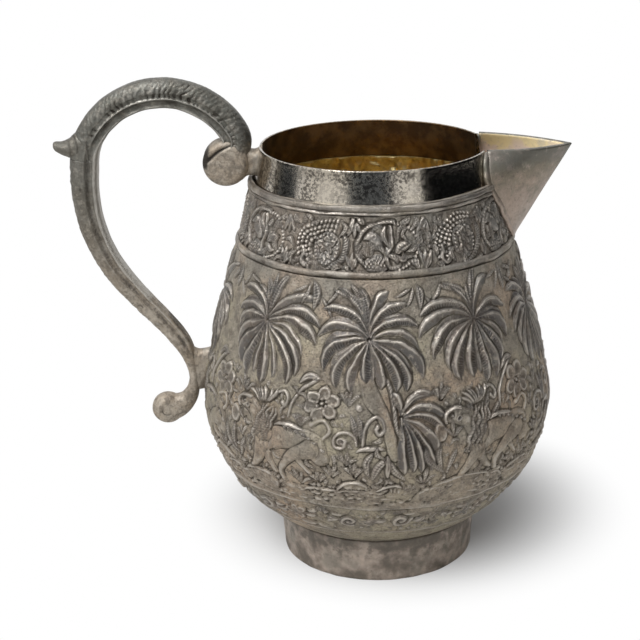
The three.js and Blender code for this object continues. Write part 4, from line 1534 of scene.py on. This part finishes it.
def collar_wire(finish):
    """A moulded wire: a bead, a groove and a broad flat fillet over it."""
    foot, top = double_low[2], double_high[2]
    out = double_high[1]
    wall = out - 1.0
    face = through([
        (wall, foot),
        (out - 0.35, foot + 0.03),
        (out, foot + 0.36),
        (out - 0.2, foot + 0.66),
        (out - 0.42, foot + 0.76),
        (out - 0.2, foot + 0.88),
        (out - 0.05, foot + 1.2),
        (out - 0.2, top - 0.32),
        (out - 0.46, top - 0.2),
        (out - 0.5, top - 0.06),
        (wall, top),
    ], 4)
    back = np.column_stack([np.full(5, wall), np.linspace(top, foot, 7)[1:-1]])
    outline = np.vstack([face, back])
    gap = math.degrees(math.asin(seam_collar / 2 / out))
    return ring_piece(
        "collar_moulding", outline, finish, "tarnished_silver", "collar_wire",
        dents=0.05, shine=0.45, matt=0.35, sway=0.05, gap=gap,
    )


def foot_ring(finish):
    """A plain ring that widens a little to its seat under the bowl."""
    high_radius = foot_high[1]
    low_radius = high_radius - foot_taper
    inner_radius = low_radius - foot_wall
    whole = bowl_curves()

    def seat(radius):
        return radius, np.interp(radius, whole[:, 0], whole[:, 1]) - seat_film

    heel = bezier([(low_radius - heel_round, 0), (low_radius, 0), (low_radius, heel_round)], 5)
    outer_top, inner_top = seat(high_radius), seat(high_radius - foot_wall)
    outside = bezier([heel[-1], (low_radius, foot_straight), (high_radius, foot_flare), outer_top], 18)
    inside = bezier([inner_top, (inner_radius, foot_hollow), (inner_radius, heel_round)], 12)
    toe = bezier([inside[-1], (inner_radius, 0), (inner_radius + heel_round, 0)], 4)
    outline = np.vstack([toe[1:], heel, outside[1:], inside])
    return ring_piece("foot", outline, finish, "tarnished_silver", "foot_ring", dents=0.025)


# Spout

seam_lip = 0.4
solder_half_width = 1.0
solder_half_depth = 0.65
solder_gap = 0.3
solder_sink = 0.35
panel_ease = (band_top - 3.5, band_top + 2.5)  # levels of the panel's edge between band and collar
edge_rise = 0.042  # of the mouth's edge for each millimetre back from the tip
toe_web = 1.0  # solid metal at the toe
spout_rows = 48
spout_half_columns = 30


def spout_panel(level, share):
    """The outside of the spout at each level: share runs from -1 at one seam over the keel to 1."""
    keel = spout_reach + (level - (rim_height - tip_drop)) / keel_slope
    seam = through([
        (spout_toe, seam_toe / 2),
        (seam_collar_level, seam_collar / 2),
        (rim_height, seam_rim / 2),
    ], 24)
    half = np.interp(level, *seam.T)
    body = lerp(band_radius(level), collar_radius(level), smooth(*panel_ease, level))
    body = body + solder_gap + seam_lip
    seam_x = np.sqrt(body ** 2 - half ** 2)
    away = np.abs(share)
    bulge = panel_bulge * 2 * smooth(spout_toe, rim_height, level)
    length = np.hypot(keel - seam_x, half)
    control_x = (keel + seam_x) / 2 + bulge * half / length
    control_y = half / 2 + bulge * (keel - seam_x) / length
    x = (1 - away) ** 2 * keel + 2 * away * (1 - away) * control_x + away ** 2 * seam_x
    y = 2 * away * (1 - away) * control_y + away ** 2 * half
    return x, y * np.sign(share)


def spout_skin():
    """The panel as a grid of points, from its toe to the mouth's sloping edge."""
    share = np.linspace(-1, 1, 2 * spout_half_columns + 1)
    rise = np.linspace(0, 1, spout_rows)[:, None]
    tip_level = rim_height - tip_drop
    top = np.full_like(share, tip_level)
    for _ in range(3):
        level = spout_toe + rise * (top - spout_toe)
        x, y = spout_panel(level, np.broadcast_to(share, level.shape))
        top = tip_level + (spout_reach - x[-1]) * edge_rise
    return np.stack([x, y, level], axis=-1)


def grid_normals(points):
    """Unit directions square to a grid of points."""
    normal = np.cross(np.gradient(points, axis=1), np.gradient(points, axis=0))
    return normal / np.linalg.norm(normal, axis=-1, keepdims=True)


def seam_solder(sheet, side, box):
    """A line of solder over one seam, from the rim to the toe."""
    level = np.linspace(rim_height - 0.5, spout_toe + 0.1, 60)
    seam_x, seam_y = spout_panel(level, np.full_like(level, side))
    inward = lerp(solder_sink, 0.0, smooth(rim_height, band_top, level))
    middle = np.column_stack([seam_x - solder_sink, seam_y - side * inward, level])
    out = middle * [1, 1, 0]
    out /= np.linalg.norm(out, axis=1, keepdims=True)
    across = np.column_stack([-out[:, 1], out[:, 0], 0 * level])
    angle = np.radians(all_round(20))
    from_end = np.minimum(level - level[-1], level[0] - level)
    taper = np.sqrt(np.clip(smooth(0, 1.5, from_end + 0.4), 0.05, 1))
    wide = (solder_half_width * taper * (1 + 0.12 * hammered((1, len(level)), 0.01, 2)[0]))[:, None, None]
    deep = (solder_half_depth * taper)[:, None, None]
    points = middle[:, None] + wide * across[:, None] * np.cos(angle)[:, None]
    points = points + deep * out[:, None] * np.sin(angle)[:, None]
    sheet.tube(sheet.place(points), box, 0.02)


def spout(dull, rubbed):
    """The folded spout: a dull outside, a rounded edge, a rubbed inside, and solder along its seams."""
    outer = spout_skin()
    normal = grid_normals(outer)
    middle = spout_half_columns
    normal[:, middle] = normal[:, middle - 1] + normal[:, middle + 1]
    normal[:, middle] /= np.linalg.norm(normal[:, middle], axis=-1, keepdims=True)
    flat = np.linalg.norm(normal * [1, 1, 0], axis=-1, keepdims=True)
    inner = outer - spout_wall * normal / np.clip(flat, 0.5, 1)
    inner[..., 2] = outer[..., 2]
    inner[:4, :, 2] = np.maximum(inner[:4, :, 2], spout_toe + toe_web)
    dents = hammered((spout_rows, 2 * outer.shape[1]), 6, 8)[:, :outer.shape[1], None]
    outer += 0.03 * normal * dents
    lip = [
        lerp(outer[-1], inner[-1], share) + [0, 0, 0.22 * math.sin(math.pi * share)]
        for share in (0.15, 0.38, 0.62, 0.85)
    ]
    sheet = Sheet()
    skin = sheet.place(outer)
    edge = sheet.place(np.stack(lip))
    lining = sheet.place(inner)
    sheet.join(skin, (0, 0, 1, 0.4))
    sheet.join(np.vstack([skin[-1:], edge, lining[-1:]]), (0, 0.4, 1, 0.45))
    sheet.join(lining[::-1], (0, 0.5, 1, 0.8), False, 1)
    sides = (np.vstack([skin[:, 0], lining[:, 0]]), np.vstack([lining[:, -1], skin[:, -1]]))
    for k, side in enumerate(sides):
        sheet.join(side, (0.2 * k, 0.9, 0.2 * k + 0.2, 0.92))
        top = [side[0, -1], *(edge[:, 0] if k == 0 else edge[::-1, -1]), side[1, -1]]
        sheet.fan(top[::-1], (0.4 + 0.1 * k, 0.9, 0.5 + 0.1 * k, 0.92))
    sheet.fan(skin[0][::-1], (0, 0.93, 0.1, 1))
    sheet.fan(lining[0], (0.1, 0.93, 0.2, 1), 1)
    sheet.fan([skin[0, 0], skin[0, -1], lining[0, -1], lining[0, 0]], (0.2, 0.93, 0.3, 1))
    seam_solder(sheet, -1, (0, 0.81, 0.5, 0.86))
    seam_solder(sheet, 1, (0.5, 0.81, 1, 0.86))
    return sheet.piece("spout_panel", [dull, rubbed], "burnished_silver", "spout")


# Handle

arch_thick = 5.6
arch_radius = 16.0
arch_middle = (-40.4, arch_high[2] - arch_radius - arch_thick / 2)
arch_start, arch_end = 32, 150
volute_radius = 4.45
volute_middle = (-28.45, arch_low[2] + volute_radius)
neck_step = 1.65
neck_pull = 2.8
joint = (-55.7, 82.4)
stem_top_swing = (-3.2, -27.5)
stem_lug_rise = 14.3
stem_x = -36.6
stem_turn = 37.0
tail_radius = 3.2
tail_reach = 5.7
tail_level = stem_low[2] + tail_radius
handle_pitch = 0.16
arch_wide = arch_high[1] - arch_low[1]
stem_wide = stem_high[1] - stem_low[1]
joint_thick = 5.5
stem_end_wide = 4.2
tail_wide = 4.4
tail_edge = 2.0
volute_edge = 1.3
turn_share = 0.845  # of the stem's length, down to where its tail starts
# Thickness at shares of the stem's length down to there, and of the tail's
stem_thick = ([0, 0.8, 0.84, 0.96, 1], [joint_thick, 3.7, 3.5, 2.3, 2.1])
tail_thick = ([0, 0.25, 0.5, 0.75, 1], [2.1, 2.6, 3.5, 5.0, 6.3])

# Half sections across the handle, as shares of half the thickness outward and half the width sideways
rounded_back = [(1, 0), (0.95, 0.38), (0.76, 0.7), (0.45, 0.91)]
arch_section = rounded_back + [
    (0.12, 1.0), (-0.02, 0.93), (-0.2, 0.92), (-0.3, 0.98), (-0.38, 0.95), (-0.46, 0.8),
    (-0.62, 0.74), (-0.78, 0.76), (-0.86, 0.84), (-0.95, 0.78), (-1, 0.55), (-1, 0),
]
stem_section = rounded_back + [
    (0.16, 0.99), (-0.02, 0.98), (-0.14, 0.92), (-0.26, 0.82), (-0.38, 0.76), (-0.5, 0.75),
    (-0.6, 0.78), (-0.68, 0.82), (-0.78, 0.82), (-0.9, 0.74), (-1, 0.5), (-1, 0),
]
tail_section = rounded_back + [
    (0.16, 0.99), (0.04, 1.0), (-0.06, 1.0), (-0.16, 0.99), (-0.3, 0.97), (-0.44, 0.93),
    (-0.56, 0.88), (-0.66, 0.82), (-0.78, 0.71), (-0.88, 0.56), (-0.96, 0.33), (-1, 0),
]
# How much the lines across the handle are rubbed bright with a painted highlight, or dark where negative,
# at shares of half the thickness
arch_rubbing = [
    (-1, 0.1), (-0.86, 0.16), (-0.7, -0.03), (-0.5, -0.08), (-0.38, 0.12),
    (-0.28, 0.2), (-0.15, 0.0), (0.12, 0.09), (0.5, 0.04), (1, 0.03),
]
stem_rubbing = [
    (-1, 0.34), (-0.85, 0.32), (-0.72, 0.2), (-0.6, 0.02), (-0.48, -0.07), (-0.34, -0.1),
    (-0.2, -0.06), (-0.06, 0.12), (0.1, 0.03), (0.6, 0.02), (1, 0.02),
]
lug_sink = 1.0  # how far a lug runs into the handle and the body
joint_plain = 2.0  # length at the two castings' joint that is left plain
morph_run = 7.0  # length over which the arch takes on the stem's section
feather_pitch = 0.95
dash_pitch = 1.2


def whole_section(half):
    """A closed section from one half of it."""
    line = through(half, 4)
    return np.vstack([line, line[-2:0:-1] * [1, -1]])


def carried(path, section, thick, wide):
    """A section at each place of a path in the plane of the handle, as a grid of points."""
    along = np.gradient(path, axis=0)
    along /= np.hypot(*along.T)[:, None]
    out = np.column_stack([along[:, 1], -along[:, 0]])
    reach = thick[:, None] / 2 * section[..., 0]
    x = path[:, :1] + out[:, :1] * reach
    z = path[:, 1:] + out[:, 1:] * reach
    y = wide[:, None] / 2 * section[..., 1]
    return np.stack([x, y, z], axis=-1)


def arch_path():
    """The arch's line, from the volute up a short neck, over the arc and down to the joint."""
    start = (volute_middle[0] + neck_step, volute_middle[1])
    angle = np.radians(np.linspace(arch_start, arch_end, 80))
    arc = np.column_stack([
        arch_middle[0] + arch_radius * np.cos(angle),
        arch_middle[1] + arch_radius * np.sin(angle),
    ])
    first = np.array([-math.sin(angle[0]), math.cos(angle[0])])
    last = np.array([-math.sin(angle[-1]), math.cos(angle[-1])])
    down = np.array(stem_top_swing) / np.hypot(*stem_top_swing)
    neck = bezier([start, (start[0], start[1] + neck_pull), arc[0] - neck_pull * first, arc[0]], 20)
    end = bezier([arc[-1], arc[-1] + 1.5 * last, joint - 1.5 * down, joint], 12)
    return spaced(np.vstack([neck[:-1], arc[:-1], end]), handle_pitch)


def stem_path():
    """The stem's line, from the joint in one swing down to the lug and out again to the tail's end."""
    top = np.array(joint)
    lug = np.array([stem_x, stem_turn])
    fall = stem_turn - tail_level
    swing = bezier([top, top + stem_top_swing, lug + [0, stem_lug_rise], lug], 80)
    end = lug - [tail_reach, fall]
    tail = bezier([lug, lug - [0, 0.57 * fall], end + [0.65 * tail_reach, 0.03 * fall], end], 24)
    return spaced(np.vstack([swing[:-1], tail]), handle_pitch)


def normal_shift(points, depth):
    """Moves a closed tube of points outward by a depth at each."""
    wrapped = np.concatenate([points[:, -1:], points, points[:, :1]], axis=1)
    normal = grid_normals(wrapped)[:, 1:-1]
    return points + normal * depth[..., None]


def cast_tube(sheet, points, crest, tan, box):
    """Adds a closed cast form with its finish."""
    grid = sheet.place(points, crest=crest, tan=tan + 0 * crest)
    sheet.join(grid[::-1], box, True)
    sheet.fan(grid[0], (box[0], box[3], box[0] + 0.05, box[3] + 0.05))
    sheet.fan(grid[-1][::-1], (box[0] + 0.06, box[3], box[0] + 0.11, box[3] + 0.05))


def rubbing(section, places):
    """How much each place of a section is rubbed bright, with a painted highlight."""
    share, amount = np.array(places).T
    return np.interp(section[..., 0], share, amount)


def feathering(along, section):
    """Chased feathers over the outer side of the arch, over a row of bold dashes above the bead."""
    out = section[..., 0]
    climb = np.clip((out - 0.12) / 0.88, 0, 1)
    slant = lerp(0.9, 2.8, along / along[-1])[:, None]
    drift = 0.24 * hammered(out.shape, 9, 12) + 0.12 * hammered(out.shape, 3, 3)
    press = np.clip(0.95 + 0.3 * hammered(out.shape, 6, 6), 0.4, 1.5)
    wave = np.cos(2 * math.pi * (along[:, None] + drift + slant * climb) / feather_pitch)
    dash = np.cos(2 * math.pi * (along[:, None] + 1.4 * drift + 0.7 * slant * climb) / dash_pitch)
    feather = smooth(0.35, 0.6, out) * (1 - 0.75 * smooth(0.86, 0.97, out))
    row = smooth(-0.3, -0.2, out) * (1 - smooth(0.32, 0.52, out))
    return -press * (0.08 * feather * smooth(-0.1, 0.9, wave) + 0.17 * row * smooth(-0.1, 0.7, dash))


def worming(section):
    """Shallow crooked lines chased over the outer side of the stem."""
    out = section[..., 0]
    lines = np.exp(-(hammered(out.shape, 2.6, 2.2) / 0.3) ** 2)
    press = np.clip(0.8 + 0.4 * hammered(out.shape, 9, 7), 0, 1.3)
    return smooth(0.05, 0.22, out) * (0.03 * hammered(out.shape, 1.4, 1.4) - 0.06 * press * lines)


def disc(sheet, middle, radius, thick, edge, face, box):
    """A round block across the handle, with rounded edges and a face that may be cut."""
    arc = np.radians(np.linspace(0, 90, 9))
    half = thick / 2
    flat = np.linspace(0, radius - edge, 26)[1:]
    front = np.column_stack([flat, np.full(len(flat), half)])
    turn = np.column_stack([radius - edge + edge * np.sin(arc), half - edge + edge * np.cos(arc)])
    outline = np.vstack([front, turn[1:]])
    outline = np.vstack([outline, (outline * [1, -1])[::-1]])
    angle = np.radians(all_round(120))
    reach = outline[:, :1]
    depth, shade = face(reach, angle)
    depth = depth * (np.abs(outline[:, 1:]) > half - 0.45)
    side = outline[:, 1:] - np.sign(outline[:, 1:]) * depth
    points = np.stack([
        middle[0] + reach * np.cos(angle),
        -np.broadcast_to(side, depth.shape),
        middle[1] + reach * np.sin(angle),
    ], axis=-1)
    # painted shade from the face lowers the crest and the tan, which darkens the colour there
    grid = sheet.place(points, crest=0.05 - 0.4 * shade, tan=np.clip(0.95 - shade, 0, 1))
    sheet.tube(grid, box, 0.05)


def volute_face(reach, angle):
    """A wedge cut between the rim, which runs on from the arch's bead, and the face, and a faint ring.
    Gives their depths, and painted shade in the wedge and the ring and over the left of the rim.
    """
    across, up = reach * np.cos(angle) / volute_radius, reach * np.sin(angle) / volute_radius
    start, end = np.array([0.34, 0.84]), np.array([-0.76, 0.14])
    run = end - start
    share = ((across - start[0]) * run[0] + (up - start[1]) * run[1]) / (run @ run)
    bow = 0.1 * np.sin(math.pi * np.clip(share, 0, 1))
    away = (run[0] * (up - start[1]) - run[1] * (across - start[0])) / np.hypot(*run) + bow
    half = lerp(0.04, 0.085, np.clip(1.6 * share, 0, 1))
    wedge = smooth(-0.06, 0.08, share) * smooth(1.12, 0.9, share) * np.exp(-(away / half) ** 2)
    ring = np.exp(-((reach / volute_radius - 0.42) / 0.05) ** 2)
    # painted shade over the left side of the rim
    rim = smooth(0.66, 0.86, reach / volute_radius) * smooth(-0.5, -0.85, across) * smooth(-0.5, 0.0, up)
    return 0.4 * wedge + 0.05 * ring, 0.62 * wedge + 0.6 * rim + 0.12 * ring


def tail_face(reach, angle):
    """A short bent cut on the domed end of the tail, with painted shade in it."""
    turn = np.degrees(angle) % 360
    cut = smooth(150, 190, turn) * smooth(330, 280, turn) * np.exp(-((reach - 1.0) / 0.2) ** 2)
    return 0.12 * cut, 0.4 * cut


spur_places = [  # millimetres from the axis, middle height, half height and half width
    (-54.6, 85.2, 4.4, 2.6),
    (-56.4, 85.0, 3.2, 2.6),
    (-57.8, 84.7, 2.2, 2.45),
    (-58.9, 84.5, 1.62, 2.15),
    (-60.0, 84.6, 1.25, 1.7),
    (-60.9, 84.85, 1.0, 1.3),
    (-61.4, 85.02, 0.66, 0.85),
    (-61.55, 85.1, 0.25, 0.3),
]


def spur(sheet, box):
    """A blunt hook that grows out of the arch, with a fine hatch at its root."""
    stations = through(spur_places, 8)
    angle = np.radians(all_round(60))
    x, middle, tall, wide = stations.T[:, :, None]
    points = np.stack([
        x + 0 * angle,
        wide * np.cos(angle),
        middle + tall * np.sin(angle),
    ], axis=-1)
    run = np.linspace(0, 1, len(stations))[:, None]
    wave = np.cos(2 * math.pi * (7 * run + 0.9 * np.abs(np.cos(angle))))
    hatch = smooth(0.1, 0.9, wave) * smooth(0.6, 0.25, run)
    points = normal_shift(points, 0.02 * hammered(hatch.shape, 3, 3) - 0.06 * hatch)
    cast_tube(sheet, points, 0.05 - 0.16 * hatch, 0.1, box)


def upper_scroll(cast):
    """The feathered arch with its volute and its spur."""
    path = arch_path()
    along = np.arange(len(path)) * handle_pitch
    share = along / along[-1]
    morph = smooth(along[-1] - morph_run, along[-1] - 0.5, along)[:, None]
    section = lerp(whole_section(arch_section), whole_section(stem_section), morph[..., None])
    thick = lerp(arch_thick, joint_thick, share)
    wide = lerp(arch_wide, stem_wide, share)
    points = carried(path, section, thick, wide)
    depth = lerp(feathering(along, section), worming(section), morph)
    depth = depth + 0.03 * hammered(points.shape[:2], 5, 5)
    depth = depth * smooth(0, joint_plain, along[-1] - along)[:, None]
    crest = lerp(rubbing(section, arch_rubbing), rubbing(section, stem_rubbing), morph) + depth
    neck_tan = 0.6 * smooth(5, 0, along)[:, None] + 0.05 * morph
    sheet = Sheet()
    cast_tube(sheet, normal_shift(points, depth), crest, neck_tan, (0, 0, 1, 0.5))
    disc(sheet, volute_middle, volute_radius, arch_wide, volute_edge, volute_face, (0, 0.56, 1, 0.75))
    spur(sheet, (0, 0.81, 1, 0.94))
    return sheet.piece("handle_arch", [cast], "cast_silver", "handle_upper_scroll")


def lower_scroll(cast):
    """The stem, whose section turns plain above the lug, with the round end of its tail."""
    path = stem_path()
    along = np.arange(len(path)) * handle_pitch
    swing = along[-1] * turn_share
    share = np.clip(along / swing, 0, 1)
    plain = smooth(0.8, 0.95, share)[:, None]
    section = lerp(whole_section(stem_section), whole_section(tail_section), plain[..., None])
    tail = np.clip((along - swing) / (along[-1] - swing), 0, 1)
    thick = np.where(tail > 0, np.interp(tail, *tail_thick), np.interp(share, *stem_thick))
    wide = np.interp(share, [0, 1], [stem_wide, stem_end_wide])
    points = carried(path, section, thick, wide)
    depth = worming(section) * (1 - plain) + 0.02 * hammered(points.shape[:2], 5, 5)
    depth = depth * smooth(0, joint_plain, along)[:, None]
    crest = rubbing(section, stem_rubbing) * (1 - 0.7 * plain) + 1.2 * depth
    # painted shade along the stem's edge that faces the body, low on its swing, taken off the crest
    shade = smooth(0.55, 0.75, share)[:, None] * smooth(-0.7, -0.95, section[..., 0])
    crest = crest - 0.45 * shade * (1 - plain)
    tan = lerp(0.05, 0.9, smooth(0.0, 0.8, share))[:, None]
    sheet = Sheet()
    cast_tube(sheet, normal_shift(points, depth), crest, tan, (0, 0, 1, 0.6))
    disc(sheet, path[-1], tail_radius, tail_wide, tail_edge, tail_face, (0, 0.66, 1, 0.9))
    return sheet.piece("handle_stem", [cast], "cast_silver", "handle_lower_scroll")


def lug(name, node, cast, flare):
    """A soldered web between the handle and the body, sunk into both, with hollow upper and lower edges."""
    low, high = node_box(node)
    share = np.linspace(0, 1, 25)
    x = lerp(low[0] - lug_sink, high[0] + lug_sink, share) - axis_x
    spread = 1 + flare * (2 * share - 1) ** 2
    angle = np.radians(all_round(64))
    tall, wide = (high[2] - low[2]) / 2, (high[1] - low[1]) / 2

    def squared(turn):
        return np.sign(turn) * np.abs(turn) ** 0.75

    points = np.stack([
        x[:, None] + 0 * angle,
        wide * squared(np.cos(angle)) * np.ones_like(x)[:, None],
        (low[2] + high[2]) / 2 + tall * squared(np.sin(angle)) * spread[:, None],
    ], axis=-1)
    bumps = 0.06 * hammered(points.shape[:2], 3, 5)
    sheet = Sheet()
    grid = sheet.place(normal_shift(points, bumps), crest=0.04 + bumps, tan=np.full(bumps.shape, 0.85))
    sheet.join(grid, (0, 0, 1, 0.8), True)
    sheet.fan(grid[0][::-1], (0, 0.8, 0.2, 1))
    sheet.fan(grid[-1], (0.2, 0.8, 0.4, 1))
    return sheet.piece(name, [cast], "cast_silver", node)


# Studio

camera_lens = 89.6
camera_film = 36.0
camera_near = 0.01  # metres
camera_place = (-11.06, -300, 153.76)  # from the jug's axis
camera_dip = 19.36  # degrees
camera_roll = -0.0231  # radians
card_headings = [  # of cards that the metal mirrors: degrees from -Y towards +X, grey, and height in metres
    (-104, -80, 0.075, 0.34),
    (-27, 15, 0.15, 0.34),
    (44, 128, 0.011, 0.55),
]
card_distance = 0.6
card_tint = (0.88, 0.98, 1.1)
# painted shadow: the paper is grey round a middle set where the jug's shadow falls, and white beyond the
# fade
shadow_middle = (7, 17)  # millimetres from the axis
shadow_fade = (0.018, 0.05)  # metres from there between which the floor turns to plain white
floor_half = 4.0
window_place = (-0.42, -0.46, 0.95)  # metres
window_size = 0.5
window_power = 9.0
matt_light = (0.0, 0.88)  # of the sky on matt surfaces, at the horizon and overhead


def camera():
    """A camera that looks down a little on the jug's side."""
    lens = bpy.data.cameras.new("camera")
    lens.lens = camera_lens
    lens.sensor_width = camera_film
    lens.clip_start = camera_near
    view = bpy.data.objects.new("camera", lens)
    right, back, up = camera_place
    turn = Euler((math.radians(90 - camera_dip), 0, 0)).to_matrix() @ Matrix.Rotation(camera_roll, 3, "Z")
    place = Matrix.Translation(((axis_x + right) / MM, back / MM, up / MM))
    view.matrix_world = place @ turn.to_4x4()
    bpy.context.scene.collection.objects.link(view)
    bpy.context.scene.camera = view


def bare_material(name):
    """A material whose shader is still to be made, with its nodes."""
    material = bpy.data.materials.new(name)
    nodes = Nodes(material)
    nodes.tree.nodes.remove(nodes.tree.nodes["Principled BSDF"])
    return material, nodes


def stage_piece(name, points, faces, material):
    """A thing that stands round the jug and isn't part of it."""
    mesh = bpy.data.meshes.new(name)
    mesh.from_pydata(points, [], faces)
    mesh.materials.append(material)
    thing = bpy.data.objects.new(name, mesh)
    bpy.context.scene.collection.objects.link(thing)
    return thing


def floor():
    """Paper: it keeps the jug's shadow near the foot, where it is a mid grey that deepens that shadow as
    painted shadow, and it turns to plain white farther out. The metal sees it as a pale grey.
    """
    material, nodes = bare_material("paper")
    place = nodes.node("ShaderNodeNewGeometry", {}, {}, "Position")
    middle = ((axis_x + shadow_middle[0]) / MM, shadow_middle[1] / MM, 0)
    away = nodes.node("ShaderNodeVectorMath", {"operation": "SUBTRACT"}, {0: place, 1: middle})
    reach = nodes.node("ShaderNodeVectorMath", {"operation": "LENGTH"}, {0: away}, "Value")
    # painted shadow: the paper near the jug is mid grey, so that the shadow there is darker
    shaded = nodes.node("ShaderNodeBsdfDiffuse", {}, {"Color": rgb(0.5, 0.5, 0.5)})
    white = nodes.node("ShaderNodeEmission", {}, {"Color": rgb(1, 1, 1)})
    seen = nodes.node("ShaderNodeMixShader", {}, {0: reach.between(*shadow_fade), 1: shaded, 2: white})
    pale = nodes.node("ShaderNodeBsdfDiffuse", {}, {"Color": rgb(0.75, 0.74, 0.72)})
    from_camera = nodes.node("ShaderNodeLightPath", {}, {}, "Is Camera Ray")
    nodes.surface(nodes.node("ShaderNodeMixShader", {}, {0: from_camera, 1: pale, 2: seen}))
    corners = [(x * floor_half, y * floor_half, 0) for x, y in ((-1, -1), (1, -1), (1, 1), (-1, 1))]
    stage_piece("floor", corners, [(0, 1, 2, 3)], material)


def card(start, end, grey, tall):
    """A curved upright card beyond the picture, seen only in the metal."""
    material, nodes = bare_material("card")
    colour = rgb(*(tint * grey for tint in card_tint))
    nodes.surface(nodes.node("ShaderNodeEmission", {}, {"Color": colour}))
    turns = np.radians(np.linspace(start, end, 13))
    x = axis_x / MM + card_distance * np.sin(turns)
    y = -card_distance * np.cos(turns)
    points = [(a, b, height) for height in (0.0, tall) for a, b in zip(x, y)]
    count = len(turns)
    faces = [(k, k + 1, k + 1 + count, k + count) for k in range(count - 1)]
    thing = stage_piece("card", points, faces, material)
    thing.visible_camera = False
    thing.visible_diffuse = False
    thing.visible_shadow = False


def sky():
    """White light: even to the camera and in the metal, and mostly from above on matt surfaces."""
    world = bpy.data.worlds.new("sky")
    bpy.context.scene.world = world
    nodes = Nodes(world)
    direction = nodes.node("ShaderNodeTexCoord", {}, {}, "Generated")
    up = nodes.node("ShaderNodeSeparateXYZ", {}, {"Vector": direction}, "Z").between(0.0, 1.0)
    low, high = matt_light
    matt = low + (high - low) * up
    from_camera = nodes.node("ShaderNodeLightPath", {}, {}, "Is Camera Ray")
    from_metal = nodes.node("ShaderNodeLightPath", {}, {}, "Is Glossy Ray")
    strength = matt + (1 - matt) * (from_camera + from_metal)
    nodes.surface(nodes.node("ShaderNodeBackground", {}, {"Color": rgb(1, 1, 1), "Strength": strength}))


def window():
    """A soft square lamp aimed at the jug."""
    light = bpy.data.lights.new("window", "AREA")
    light.size = window_size
    light.energy = window_power
    thing = bpy.data.objects.new("window", light)
    aim = Vector((axis_x / MM, 0, 0.05)) - Vector(window_place)
    turn = aim.to_track_quat("-Z", "Y").to_matrix().to_4x4()
    thing.matrix_world = Matrix.Translation(window_place) @ turn
    bpy.context.scene.collection.objects.link(thing)


def studio():
    """Paper, cards, sky and one soft lamp."""
    bpy.context.scene.view_settings.view_transform = "Standard"
    floor()
    for start, end, grey, tall in card_headings:
        card(start, end, grey, tall)
    sky()
    window()


def jug():
    """All the pieces, each with its finishes."""
    chased = chased_silver()
    bright = burnished_silver()
    cast = cast_silver()
    plain = plain_silver()
    dull = dull_sheet()
    gilt = gilding("gilding", rgb(0.72, 0.54, 0.235), rgb(1.0, 0.88, 0.5), 0.3)
    # painted shade: a darkened copy of the gilding lines the collar, deep in the mouth
    shaded_gilt = gilding("shaded_gilding", rgb(0.13, 0.088, 0.055), rgb(0.265, 0.18, 0.1), 0.15)
    rubbed = rubbed_gilding()
    belly_bowl(chased, gilt)
    frieze_band(chased, gilt)
    collar_band(bright, shaded_gilt)
    shoulder_wire(chased)
    collar_wire(chased)
    foot_ring(plain)
    spout(dull, rubbed)
    upper_scroll(cast)
    lower_scroll(cast)
    lug("upper_solder", "upper_handle_lug", cast, flare=0.4)
    lug("lower_solder", "lower_handle_lug", cast, flare=0.16)


camera()
jug()
studio()
